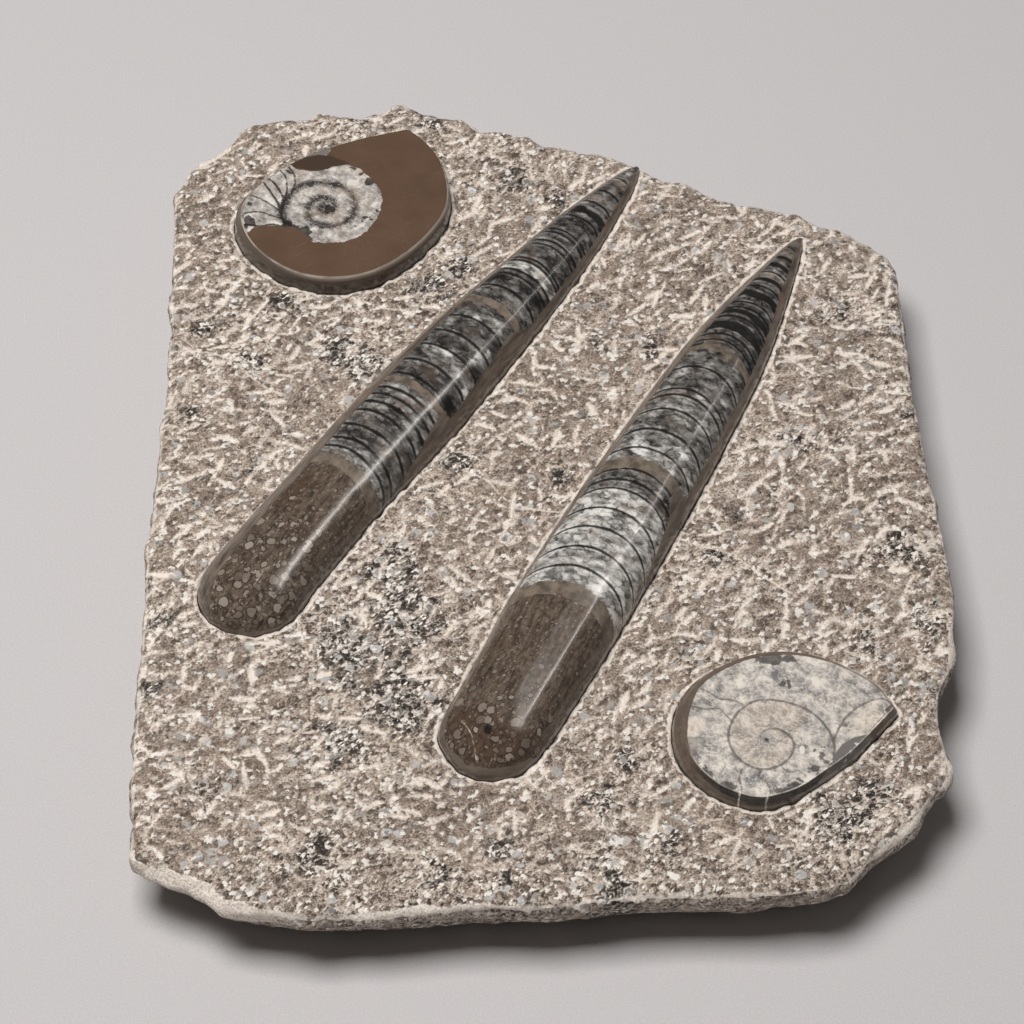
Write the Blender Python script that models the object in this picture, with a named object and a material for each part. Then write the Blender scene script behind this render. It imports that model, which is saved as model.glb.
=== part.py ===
"""A fossil plate: two coiled ammonites and two straight orthocones, polished, in a chiselled slab.

The slab lies flat, its underside on z = 0, its long side along Y. X points right, Y to the back.
Sizes are in millimetres and are turned into metres where a mesh is made.
"""

import math

import bmesh
import bpy
import numpy as np
from mathutils import Vector
from mathutils.geometry import delaunay_2d_cdt

MM = 0.001
SHARP_ABOVE = math.radians(33)

# Slab: its mean top, and the rings of its broken edge below the rim. A ring is its level, how
# far it lies in from the rim and how many rounds of softening the rim's shape gets there.
SLAB_TOP = 30.0
EDGE_RINGS = ((22.0, 0.2, 0), (11.0, 5.0, 4), (0.0, 12.5, 16))
RIM_STEP = 7.0
RIM_BULGE = 0.36
RIM_DENT = 0.9
RIM_DROP = 1.1
RIM_DROP_REACH = 5.0
EDGE_RAGGED = 0.7

# Slab top: spacing and depth of the chisel pits, and the strip kept clear beside a rim or a seat
PIT_STEP = 7.6
PIT_SHIFT = 2.4
PIT_DEPTH = 1.1
SWELL = 0.6
SWELL_ACROSS = 95.0
SWELL_ALONG = 145.0
RIM_CLEAR = 4.6
SEAT_CLEAR = 3.4

# Seats cut in the slab for the fossils
SEAT_DEPTH = 4.0
SEAT_LIP = 0.5
GAP = 0.35

# Corners of the slab's rim, from the left side over the back to the right side and the front
RIM_CORNERS = (
    (-146, -25), (-145, 69), (-148, 145), (-144, 149), (-143, 155), (-137, 163), (-129, 168),
    (-124, 178), (-117, 182), (-108, 185), (-95, 186), (-92, 189), (-75, 186), (-69, 189),
    (-65, 188), (-62, 193), (-58, 193), (-41, 186), (-33, 186), (-26, 179), (-16, 179),
    (-6, 176), (-2, 171), (24, 164), (36, 159), (48, 150), (54, 151), (68, 142), (91, 135),
    (96, 132), (100, 132), (109, 126), (115, 125), (134, 110), (138, 102), (139, 45),
    (148, -54), (146, -83), (139, -100), (138, -114), (141, -134), (126, -155), (102, -178),
    (94, -182), (79, -184), (41, -184), (5, -187), (3, -189), (-21, -188), (-81, -193),
    (-112, -188), (-118, -182), (-144, -170), (-146, -132), (-146, -62), (-148, -32),
)

# Orthocones: the tip, and the heading of the axis from the blunt end to the tip in degrees.
# A station is its distance from the tip, how far the middle sways to the right of the axis,
# the half width there and the height over the slab.
RIGHT_TIP = (100.8, 118.2)
RIGHT_HEADING = 62.8
RIGHT_STATIONS = (
    (0.0, 0.0, 0.7, 0.6), (4.0, 0.0, 2.7, 2.1), (15.0, 0.0, 5.6, 4.3), (28.0, 0.0, 8.4, 6.5),
    (43.0, 0.0, 11.4, 8.8), (57.0, 0.0, 14.0, 10.8), (75.0, 0.0, 16.2, 12.5),
    (98.0, 0.0, 17.8, 13.7), (126.0, 0.1, 19.3, 14.9), (150.0, 0.1, 20.2, 15.6),
    (182.0, 0.2, 20.8, 16.1), (213.0, 0.3, 21.0, 16.4), (238.0, 1.2, 20.0, 16.4),
    (256.0, 1.4, 19.4, 15.6), (268.0, 1.0, 19.0, 12.8), (277.0, 0.5, 16.0, 8.8),
    (282.0, 0.8, 9.6, 5.6), (284.5, 1.0, 3.6, 3.4),
)
LEFT_TIP = (37.2, 156.9)
LEFT_HEADING = 55.35
LEFT_STATIONS = (
    (0.0, 0.2, 0.9, 0.8), (4.0, 0.3, 3.1, 2.4), (15.0, 0.7, 6.1, 4.6), (29.0, 0.8, 8.8, 6.8),
    (47.0, 0.8, 11.6, 9.2), (77.0, 0.8, 14.6, 11.8), (98.0, 0.5, 16.5, 13.4),
    (120.0, 0.2, 18.2, 14.8), (150.0, 0.0, 19.4, 15.9), (180.0, 0.0, 19.4, 15.9),
    (205.0, 0.1, 18.7, 15.4), (240.0, 1.0, 18.9, 15.2), (256.0, 2.0, 19.6, 13.8),
    (264.0, 2.0, 18.6, 11.4), (270.0, 2.0, 15.5, 8.8), (274.5, 1.8, 10.8, 6.2),
    (277.0, 1.5, 3.8, 4.0),
)
CONE_STEP = 9.0
CONE_SIDES = 18
CONE_SQUARENESS = 2.08

# Ammonites: points along the outer edge, from the corner of the mouth all the way round.
# The edge is a smooth curve through them, and turns sharply at the first point only.
BROWN_EDGE = (
    (-54.8, 172.3), (-47.2, 165.0), (-40.5, 153.4), (-37.4, 138.6), (-38.4, 126.4),
    (-43.8, 115.0), (-53.4, 102.8), (-66.2, 93.4), (-80.4, 89.7), (-95.7, 91.7),
    (-109.0, 99.4), (-118.6, 110.6), (-122.8, 123.8), (-119.4, 135.6), (-108.6, 147.8),
    (-94.4, 158.2), (-75.2, 166.3),
)
BROWN_HEIGHT = 8.0
BROWN_BEVEL = 1.5
BROWN_LEFT_BEVEL = 3.4
GREY_EDGE = (
    (123.4, -110.4), (118.2, -100.6), (108.5, -92.6), (96.6, -87.0), (84.2, -84.7),
    (71.4, -86.2), (58.8, -91.8), (49.2, -99.8), (44.4, -109.8), (43.1, -119.8),
    (45.2, -129.8), (51.0, -138.6), (60.4, -145.8), (73.2, -149.2), (86.0, -145.4),
    (96.4, -138.0), (106.8, -129.4), (116.6, -118.2),
)
GREY_HEIGHT = 5.5
GREY_BEVEL = 1.4
GREY_LEFT_BEVEL = 4.2
EDGE_STEPS = 4
WALL_DROP = 2.4
WALL_DROP_INSET = 0.35

SEED = 20417


def clear_scene():
    for item in list(bpy.data.objects):
        bpy.data.objects.remove(item, do_unlink=True)


def stone_material(name, colour, roughness, coat=0.0):
    material = bpy.data.materials.new(name)
    material.use_nodes = True
    shader = material.node_tree.nodes["Principled BSDF"]
    shader.inputs["Base Color"].default_value = (*colour, 1.0)
    shader.inputs["Roughness"].default_value = roughness
    shader.inputs["Metallic"].default_value = 0.0
    shader.inputs["Coat Weight"].default_value = coat
    material.diffuse_color = (*colour, 1.0)
    return material


def add_piece(name, mesh, material, polished=True):
    """Adds a bmesh in millimetres as an object in metres, with its faces pointing out."""
    bmesh.ops.recalc_face_normals(mesh, faces=mesh.faces[:])
    wide = [face for face in mesh.faces if len(face.verts) > 4]
    bmesh.ops.triangulate(mesh, faces=wide, ngon_method="BEAUTY")
    bmesh.ops.scale(mesh, vec=Vector((MM, MM, MM)), verts=mesh.verts[:])
    data = bpy.data.meshes.new(name)
    mesh.to_mesh(data)
    mesh.free()
    data.materials.append(material)
    if polished:
        data.shade_smooth()
        data.set_sharp_from_angle(angle=SHARP_ABOVE)
    item = bpy.data.objects.new(name, data)
    bpy.context.scene.collection.objects.link(item)
    return item


def outward(loop):
    """The unit normal at each point of a closed loop, pointing out of it."""
    ahead = np.roll(loop, -1, axis=0) - np.roll(loop, 1, axis=0)
    ahead /= np.linalg.norm(ahead, axis=1, keepdims=True)
    normal = np.stack([ahead[:, 1], -ahead[:, 0]], axis=1)
    following = np.roll(loop, -1, axis=0)
    area = (loop[:, 0] * following[:, 1] - following[:, 0] * loop[:, 1]).sum()
    return normal if area > 0 else -normal


def offset(loop, distance):
    return loop + outward(loop) * np.reshape(distance, (-1, 1))


def softened(loop, rounds):
    """The loop with its corners worn down, so that it can be offset far without crossing."""
    for _ in range(rounds):
        loop = (np.roll(loop, 1, axis=0) + 2 * loop + np.roll(loop, -1, axis=0)) / 4
    return loop


def distance_to(points, loop):
    """How far each point lies from the nearest edge of a closed loop."""
    nearest = np.full(len(points), np.inf)
    for start, end in zip(loop, np.roll(loop, -1, axis=0)):
        along = end - start
        share = np.clip((points - start) @ along / (along @ along), 0.0, 1.0)
        gap = points - (start + share[:, None] * along)
        nearest = np.minimum(nearest, np.hypot(gap[:, 0], gap[:, 1]))
    return nearest


def inside(points, loop):
    """Which points lie inside a closed loop, by counting the edges that a ray crosses."""
    odd = np.zeros(len(points), bool)
    for (x0, y0), (x1, y1) in zip(loop, np.roll(loop, -1, axis=0)):
        spans = (y0 > points[:, 1]) != (y1 > points[:, 1])
        rise = np.where(y1 == y0, 1.0, y1 - y0)
        crossing = x0 + (points[:, 1] - y0) * (x1 - x0) / rise
        odd ^= spans & (points[:, 0] < crossing)
    return odd


def cone_sections(tip, heading, stations):
    """Cross sections of an orthocone: the middle, half width and height of each, and the
    direction across them."""
    distance, sway, half_width, height = np.array(stations).T
    places = [distance[0]]
    for start, end in zip(distance, distance[1:]):
        count = max(1, round((end - start) / CONE_STEP))
        places.extend(start + (end - start) * (i + 1) / count for i in range(count))
    places = np.array(places)
    turn = math.radians(heading)
    axis = np.array([math.cos(turn), math.sin(turn)])
    across = np.array([axis[1], -axis[0]])
    swayed = np.interp(places, distance, sway)
    middles = np.array(tip) - places[:, None] * axis + swayed[:, None] * across
    widths = np.interp(places, distance, half_width)
    heights = np.interp(places, distance, height)
    return middles, across, widths, heights


def cone_footprint(tip, heading, stations):
    middles, across, widths, _ = cone_sections(tip, heading, stations)
    right = middles + widths[:, None] * across
    left = middles - widths[:, None] * across
    return np.vstack([right, left[::-1]])


def section_curve(steps, squareness):
    """A half superellipse from (-1, 0) over (0, 1) to (1, 0)."""
    angles = np.linspace(math.pi, 0.0, steps + 1)
    cosine, sine = np.cos(angles), np.maximum(np.sin(angles), 0.0)
    power = 2.0 / squareness
    return np.sign(cosine) * np.abs(cosine) ** power, sine**power


def make_orthocone(name, tip, heading, stations, material):
    """A straight shell: vertical walls down into its seat, a rounded back, a flat underside."""
    middles, across, widths, heights = cone_sections(tip, heading, stations)
    curve_x, curve_z = section_curve(CONE_SIDES, CONE_SQUARENESS)
    foot = SLAB_TOP - SEAT_DEPTH + GAP
    mesh = bmesh.new()
    rings = []
    for middle, width, height in zip(middles, widths, heights):
        section = [(-width, foot)]
        section += [(width * x, SLAB_TOP + height * z) for x, z in zip(curve_x, curve_z)]
        section += [(width, foot)]
        rings.append([mesh.verts.new((*(middle + x * across), z)) for x, z in section])
    for ring, following in zip(rings, rings[1:]):
        for i in range(len(ring)):
            j = (i + 1) % len(ring)
            mesh.faces.new((ring[i], ring[j], following[j], following[i]))
    mesh.faces.new(rings[0][::-1])
    mesh.faces.new(rings[-1])
    return add_piece(name, mesh, material)


def smooth_edge(corners):
    """A closed curve through the corners that is smooth everywhere but at the first."""
    corners = np.array(corners)
    before = np.vstack([2 * corners[0] - corners[1], corners])
    after = np.vstack([corners[1:], corners[:1]])
    beyond = np.vstack([corners[2:], corners[:1], 2 * corners[0] - corners[-1]])
    points = []
    for p0, p1, p2, p3 in zip(before, corners, after, beyond):
        for i in range(EDGE_STEPS):
            t = i / EDGE_STEPS
            slope_in, slope_out = (p2 - p0) / 2, (p3 - p1) / 2
            points.append(
                (2 * t**3 - 3 * t**2 + 1) * p1
                + (t**3 - 2 * t**2 + t) * slope_in
                + (3 * t**2 - 2 * t**3) * p2
                + (t**3 - t**2) * slope_out
            )
    return np.array(points)


def make_ammonite(name, footprint, height, bevel, left_bevel, material):
    """A sliced coiled shell: its outline as a wall, a bevelled edge and a flat polished face.

    The bevel is widest on the side that faces left."""
    leftness = np.clip(-outward(footprint)[:, 0], 0.0, 1.0)
    inset = bevel + (left_bevel - bevel) * leftness**2
    top = SLAB_TOP + height
    levels = (
        (SLAB_TOP - SEAT_DEPTH + GAP, 0.0),
        (SLAB_TOP, 0.0),
        (top - WALL_DROP, WALL_DROP_INSET),
        (top, 1.0),
    )
    mesh = bmesh.new()
    rings = [
        [mesh.verts.new((x, y, level)) for x, y in offset(footprint, -share * inset)]
        for level, share in levels
    ]
    for ring, following in zip(rings, rings[1:]):
        for i in range(len(ring)):
            j = (i + 1) % len(ring)
            mesh.faces.new((ring[i], ring[j], following[j], following[i]))
    mesh.faces.new(rings[0][::-1])
    mesh.faces.new(rings[-1])
    return add_piece(name, mesh, material)


def ragged_rim(random):
    """The rim's corners, with points between them that wander a little off the straight."""
    corners = np.array(RIM_CORNERS, float)
    points = []
    for start, end in zip(corners, np.roll(corners, -1, axis=0)):
        along = end - start
        length = np.hypot(*along)
        count = max(1, round(length / RIM_STEP))
        inward = np.array([along[1], -along[0]]) / length
        points.append(start)
        for i in range(1, count):
            wander = random.uniform(-RIM_BULGE, RIM_DENT)
            points.append(start + along * i / count + inward * wander)
    return np.array(points)


def top_height(points, rim, random):
    """Height of the chiselled top: pits and crests, a long swell and a drop at the rim."""
    pits = random.uniform(-1.0, 1.0, len(points)) * PIT_DEPTH
    across, along = points.T * math.tau
    swell = np.sin(across / SWELL_ACROSS) * np.cos(along / SWELL_ALONG)
    drop = RIM_DROP * np.exp(-distance_to(points, rim) / RIM_DROP_REACH)
    return SLAB_TOP + pits + SWELL * swell - drop


def pit_points(rim, seats, random):
    """A loose triangular grid of points over the top, clear of the rim and of the seats."""
    rows = []
    lowest, highest = rim.min(axis=0), rim.max(axis=0)
    row_step = PIT_STEP * math.sqrt(3) / 2
    for row in range(int((highest[1] - lowest[1]) / row_step) + 1):
        columns = int((highest[0] - lowest[0]) / PIT_STEP) + 1
        x = lowest[0] + (np.arange(columns) + 0.5 * (row % 2)) * PIT_STEP
        rows.append(np.stack([x, np.full(columns, lowest[1] + row * row_step)], axis=1))
    points = np.vstack(rows)
    points += random.uniform(-0.5, 0.5, points.shape) * PIT_SHIFT
    keep = inside(points, rim) & (distance_to(points, rim) > RIM_CLEAR)
    for seat in seats:
        keep &= ~inside(points, seat) & (distance_to(points, seat) > SEAT_CLEAR)
    return points[keep]


def top_triangles(rim, seats, pits):
    """Triangles over the top between the rim and the seats, as rows of three point numbers."""
    flat = np.vstack([rim, *seats, pits])
    edges = []
    first = 0
    for loop in (rim, *seats):
        edges += [(first + i, first + (i + 1) % len(loop)) for i in range(len(loop))]
        first += len(loop)
    points = [Vector(point) for point in flat]
    _, _, triangles, origins, _, _ = delaunay_2d_cdt(points, edges, [], 0, 1e-6)
    rows = np.array([[origins[i][0] for i in triangle] for triangle in triangles])
    middles = flat[rows].mean(axis=1)
    solid = inside(middles, rim)
    for seat in seats:
        solid &= ~inside(middles, seat)
    return rows[solid]


def make_slab(footprints, material):
    """The slab: a pitted top with a flat-bottomed seat for each fossil, and undercut edges."""
    random = np.random.default_rng(SEED)
    rim = ragged_rim(random)
    seats = [offset(footprint, GAP) for footprint in footprints]
    pits = pit_points(rim, seats, random)
    rim_height = top_height(rim, rim, random)
    pit_height = top_height(pits, rim, random)
    seat_height = np.full(sum(map(len, seats)), SLAB_TOP - SEAT_LIP)
    height = np.concatenate([rim_height, seat_height, pit_height])

    mesh = bmesh.new()
    flat = np.vstack([rim, *seats, pits])
    top = [mesh.verts.new((x, y, z)) for (x, y), z in zip(flat, height)]
    for row in top_triangles(rim, seats, pits):
        mesh.faces.new([top[i] for i in row])

    first = len(rim)
    for seat in seats:
        lip = top[first : first + len(seat)]
        floor = [mesh.verts.new((x, y, SLAB_TOP - SEAT_DEPTH)) for x, y in seat]
        for i in range(len(seat)):
            j = (i + 1) % len(seat)
            mesh.faces.new((lip[i], lip[j], floor[j], floor[i]))
        mesh.faces.new(floor)
        first += len(seat)

    above = top[: len(rim)]
    for level, inset, rounds in EDGE_RINGS:
        wander = random.uniform(-1.0, 1.0, (2, len(rim))) * EDGE_RAGGED
        ring = offset(softened(rim, rounds), wander[0] - inset)
        heights = level + wander[1] * (level > 0)
        below = [mesh.verts.new((x, y, z)) for (x, y), z in zip(ring, heights)]
        for i in range(len(rim)):
            j = (i + 1) % len(rim)
            mesh.faces.new((above[i], above[j], below[j], below[i]))
        above = below
    mesh.faces.new(above)
    return add_piece("stone_slab", mesh, material, polished=False)


def build():
    clear_scene()
    limestone = stone_material("shell_limestone", (0.27, 0.22, 0.18), 0.85)
    banded = stone_material("polished_orthocone", (0.12, 0.10, 0.09), 0.25, coat=0.4)
    brown = stone_material("polished_brown", (0.085, 0.055, 0.038), 0.22, coat=0.4)
    grey = stone_material("polished_grey", (0.42, 0.40, 0.37), 0.25, coat=0.4)

    right = (RIGHT_TIP, RIGHT_HEADING, RIGHT_STATIONS)
    left = (LEFT_TIP, LEFT_HEADING, LEFT_STATIONS)
    brown_edge = smooth_edge(BROWN_EDGE)
    grey_edge = smooth_edge(GREY_EDGE)
    make_slab([cone_footprint(*right), cone_footprint(*left), brown_edge, grey_edge], limestone)
    make_orthocone("orthocone_right", *right, banded)
    make_orthocone("orthocone_left", *left, banded)
    make_ammonite("ammonite_brown", brown_edge, BROWN_HEIGHT, BROWN_BEVEL, BROWN_LEFT_BEVEL, brown)
    make_ammonite("ammonite_grey", grey_edge, GREY_HEIGHT, GREY_BEVEL, GREY_LEFT_BEVEL, grey)


build()
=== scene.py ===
import functools
import itertools
import math

import bmesh
import bpy
import numpy as np
from mathutils import Matrix, Vector
from mathutils.geometry import delaunay_2d_cdt


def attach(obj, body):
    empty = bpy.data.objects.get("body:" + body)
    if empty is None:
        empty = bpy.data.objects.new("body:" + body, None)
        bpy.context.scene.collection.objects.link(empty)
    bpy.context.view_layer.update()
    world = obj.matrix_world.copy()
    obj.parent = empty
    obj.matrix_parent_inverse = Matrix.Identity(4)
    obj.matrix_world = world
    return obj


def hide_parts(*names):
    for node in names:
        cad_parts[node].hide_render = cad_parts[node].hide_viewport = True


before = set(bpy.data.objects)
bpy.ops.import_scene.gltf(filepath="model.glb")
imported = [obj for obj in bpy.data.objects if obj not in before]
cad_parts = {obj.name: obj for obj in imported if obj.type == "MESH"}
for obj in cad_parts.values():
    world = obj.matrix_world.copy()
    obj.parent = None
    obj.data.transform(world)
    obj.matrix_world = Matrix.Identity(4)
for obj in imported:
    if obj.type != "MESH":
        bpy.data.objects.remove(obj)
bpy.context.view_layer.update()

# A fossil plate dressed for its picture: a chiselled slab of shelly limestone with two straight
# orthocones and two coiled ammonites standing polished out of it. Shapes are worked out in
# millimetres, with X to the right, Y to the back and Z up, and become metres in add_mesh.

MM = 0.001
SEED = 20417
ORIGIN = (0.0, 0.0, 0.0)
NO_POINTS = np.zeros((0, 2))
# A distance at which no marking is in reach
FAR = 50.0

# Slab, as in the solid: levels, seats, the swell of its top, and the corners of the rim going
# round clockwise. A ring of its edge is a level, how far it lies inside the rim, and how
# much it is worn.
SLAB_TOP = 30.0
EDGE_RINGS = ((22.0, 0.2, 0.0), (11.0, 5.0, 98.0), (0.0, 12.5, 392.0))
SEAT_DEPTH = 4.0
GAP = 0.35
SWELL = 0.6
SWELL_ACROSS = 95.0
SWELL_ALONG = 145.0
RIM_CORNERS = (
    (-146, -25), (-145, 69), (-148, 145), (-144, 149), (-143, 155), (-137, 163), (-129, 168),
    (-124, 178), (-117, 182), (-108, 185), (-95, 186), (-92, 189), (-75, 186), (-69, 189),
    (-65, 188), (-62, 193), (-58, 193), (-41, 186), (-33, 186), (-26, 179), (-16, 179),
    (-6, 176), (-2, 171), (24, 164), (36, 159), (48, 150), (54, 151), (68, 142), (91, 135),
    (96, 132), (100, 132), (109, 126), (115, 125), (134, 110), (138, 102), (139, 45),
    (148, -54), (146, -83), (139, -100), (138, -114), (141, -134), (126, -155), (102, -178),
    (94, -182), (79, -184), (41, -184), (5, -187), (3, -189), (-21, -188), (-81, -193),
    (-112, -188), (-118, -182), (-144, -170), (-146, -132), (-146, -62), (-148, -32),
)

# Slab, finer than the solid: the spacing of its points, its chips and its tool marks
TOP_STEP = 1.04
RIM_STEP = 1.25
RIM_CHIP = 0.65
RIM_WEAR = 3.0
RIM_DROP = 1.9
RIM_DROP_REACH = 2.0
LIP_CHIP = 0.9
LIP_REACH = 1.2
SEAT_STEP = 1.2
EDGE_STEP = 1.4
BULGE_LEVEL = 24.5
MARK_STEP = 5.6
MARK_DEPTH = 0.75
MARK_HEADING = 44.0
MARK_SPREAD = 30.0
MARK_DRIFT = 50.0
MARK_DRIFT_SIZE = 60.0
MARK_LENGTH = (6.0, 12.0)
MARK_BREADTH = (1.7, 4.0)
MARK_STRENGTH = (0.2, 1.0)
# Shares of the marks that point anywhere and that are longer, and how much longer these are
STRAY_MARKS = 0.16
LONG_MARKS = 0.12
LONG_MARK_EXTRA = 4.0
# The fields of marks cover the top: their spacing, their corner and their count of places
FIELD_STEP = 0.5
FIELD_LOW = (-154.0, -199.0)
FIELD_SIZE = (616, 796)

# Fresh breaks of the rim: a point on it, how far the break runs, how wide and how deep it is
BREAKS = (
    (-118, -182, 34, 3.1, 2.3), (126, -155, 34, 1.9, 1.1), (146, -78, 10, 2.6, 1.3),
    (-40, -190, 40, 2.2, 1.2), (-134, 166, 14, 3.0, 2.0), (-20, 180, 16, 2.4, 1.6),
)
# Dark patches of the limestone: middle, reach and strength
DARK_PATCHES = (
    (-52, -68, 10, 1), (-72, -120, 6, 1), (-71, -81, 11, 0.9), (-53, -103, 10, 1),
    (-56, -45, 8, 0.85), (-69, 53, 6, 1), (-80, 60, 5, 0.9), (-45, 91, 6, 0.9), (-33, 104, 5, 0.9),
    (-112, 55, 4, 0.8), (-132, 71, 4, 0.6), (130, -36, 5, 0.9), (137, -68, 5, 0.9),
    (116, -77, 5, 0.7), (134, -99, 5, 0.6), (111, -120, 5, 0.9), (100, -154, 7, 1),
    (112, -145, 5, 0.9), (-16, -164, 5, 0.8), (-15, -178, 4, 0.8), (-39, -178, 4, 0.7),
    (-81, -166, 5, 0.9), (-70, -182, 4, 0.6), (22, -180, 5, 0.9), (18, -146, 4, 0.9),
    (28, -129, 5, 0.7), (42, -164, 4, 0.6), (61, -39, 4, 0.7), (82, -48, 4, 0.6),
    (-10, 150, 6, 0.8), (-22, 178, 4, 0.7), (-46, 185, 4, 0.8), (-75, 186, 4, 0.6),
    (6, 136, 5, 0.6), (115, 81, 4, 0.6), (135, 73, 4, 0.7), (135, 30, 4, 0.6), (21, 63, 4, 0.6),
    (40, 60, 4, 0.6), (-32, 6, 4, 0.9), (5, -3, 4, 0.7), (93, 16, 4, 0.6), (71, -18, 4, 0.5),
    (-140, -69, 4, 0.7), (-141, -99, 4, 0.6), (-121, -138, 4, 0.6), (-135, 26, 4, 0.6),
    (-111, 1, 4, 0.5), (-101, 86, 7, 0.5), (-28, -103, 3, 0.6), (51, -81, 3, 0.6),
)
# How far the dark of a patch and the shelly stone round it go, as shares of its reach
DARK_REACH = 2**0.5
SHELLY_REACH = 0.12**-0.5
# By the front edge the chisel's marks fade and broken shell gathers: middle, reach, strength
CALM_FRONT = (-192.0, 24.0, 0.75)
SHELLY_FRONT = (-185.0, 16.0, 0.8)
# Thin pale veins across the top
VEINS = (
    ((-32, 2), (-22, -4), (-14, -14), (2, -19), (14, -18)),
    ((40, -24), (52, -33), (66, -38), (80, -50), (90, -58)),
    ((-146, 60), (-128, 58), (-118, 52), (-108, 42), (-100, 38)),
)

# Orthocones: the tip, the heading of the axis in degrees, and stations. A station is its
# distance from the tip, how far the middle sways to the right, the half width and the height.
# The markings lie by distance from the tip. A septum is its place and its thickness, a mud
# band is its two edges, a tone is a place and how pale the calcite is there, an edge of the
# chambers is a place and its angles from the crest on both sides, and a smudge, a rusty or a
# black stain is a place, an angle, its reach along and round, and its strength. Bow is how
# much the markings bow to the tip at the crest, and how far round their middle lies. Ridge is
# where a soft ridge starts and ends, and its strength. Pebbles of shell lie in the living
# chamber so densely. The flanks are plain brown up to the foot, which is a height.
RIGHT_CONE = {
    "tip": (100.8, 118.2),
    "heading": 62.8,
    "stations": (
        (0.0, 0.0, 0.7, 0.6), (4.0, 0.0, 2.7, 2.1), (15.0, 0.0, 5.6, 4.3), (28.0, 0.0, 8.4, 6.5),
        (43.0, 0.0, 11.4, 8.8), (57.0, 0.0, 14.0, 10.8), (75.0, 0.0, 16.2, 12.5), (98.0, 0.0, 17.8, 13.7),
        (126.0, 0.1, 19.3, 14.9), (150.0, 0.1, 20.2, 15.6), (182.0, 0.2, 20.8, 16.1),
        (213.0, 0.3, 21.0, 16.4), (238.0, 1.2, 20.0, 16.4), (256.0, 1.4, 19.4, 15.6),
        (268.0, 1.0, 19.0, 12.8), (277.0, 0.5, 16.0, 8.8), (282.0, 0.8, 9.6, 5.6), (284.5, 1.0, 3.6, 3.4),
    ),
    "septa": (
        (15.9, 1.8), (21.4, 2.2), (26.2, 0.8), (31.3, 1.8), (35.9, 0.8), (41.4, 4.6), (47.2, 0.9),
        (51.0, 1.0), (54.2, 2.6), (57.2, 0.9), (62.8, 3.8), (68.3, 0.9), (72.0, 0.7), (88.3, 0.9),
        (101.0, 0.9), (104.4, 1.2), (112.6, 0.9), (124.0, 1.1), (134.2, 0.9), (145.6, 1.0), (151.5, 1.2),
        (156.3, 0.9), (166.4, 0.9), (175.9, 1.0), (186.0, 1.0), (195.6, 1.1),
    ),
    "bands": ((0.0, 7.0), (75.0, 78.6), (139.4, 145.0), (203.4, 210.2)),
    "tones": (
        (0, 0.30), (14, 0.38), (30, 0.34), (45, 0.30), (60, 0.26), (74, 0.28), (79, 0.36), (100, 0.42),
        (112, 0.46), (124, 0.40), (126, 0.52), (139, 0.60), (146, 0.42), (155, 0.50), (158, 0.72),
        (176, 0.72), (190, 0.66), (203, 0.74),
    ),
    "edges": (
        (0, -24, 24), (14, -30, 34), (30, -34, 42), (50, -36, 54), (76, -42, 60), (100, -47, 64),
        (136, -50, 64), (143, -50, 46), (146, -50, 42), (152, -51, 56), (160, -53, 63), (168, -53, 68),
        (176, -55, 82), (182, -55, 100), (206, -56, 100),
    ),
    "smudges": (
        (92, -27, 2.2, 7, 0.30), (95, 44, 3, 9, 0.25), (103, 22, 2, 16, 0.28), (128, 26, 2.6, 8, 0.40),
        (136, -12, 1.8, 6, 0.35), (172, -24, 4, 12, 0.12), (131, -20, 3, 8, 0.20),
        (138, 48, 4, 10, -0.25), (154, 36, 3, 8, -0.30), (117, 8, 2, 5, 0.25), (198, 30, 4, 10, 0.12),
        (148, -20, 2, 14, -0.20), (183, -32, 2, 6, -0.25), (176, 22, 1.6, 8, 0.2),
    ),
    "bow": ((0, 0.75, 4), (100, 0.75, 4), (150, 0.7, 6), (200, 0.6, 18)),
    "ridge": (200.0, 262.0, 1.0),
    "pebbles": ((208, 0.22), (240, 0.34), (258, 0.6), (284, 0.8)),
    "rust": ((272, 10, 9, 60, 1.2), (234, -40, 12, 16, 0.5), (220, 20, 8, 14, 0.3)),
    "stains": ((271, 3, 2.0, 6, 1.0), (247, -28, 3.0, 8, 0.6), (226, -12, 2.0, 5, 0.5)),
    "cracks": (((270.5, -34), (272, -24), (274, -13), (277, -4), (280, 4), (281.5, 14)),),
    "foot": 4.6,
}
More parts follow.
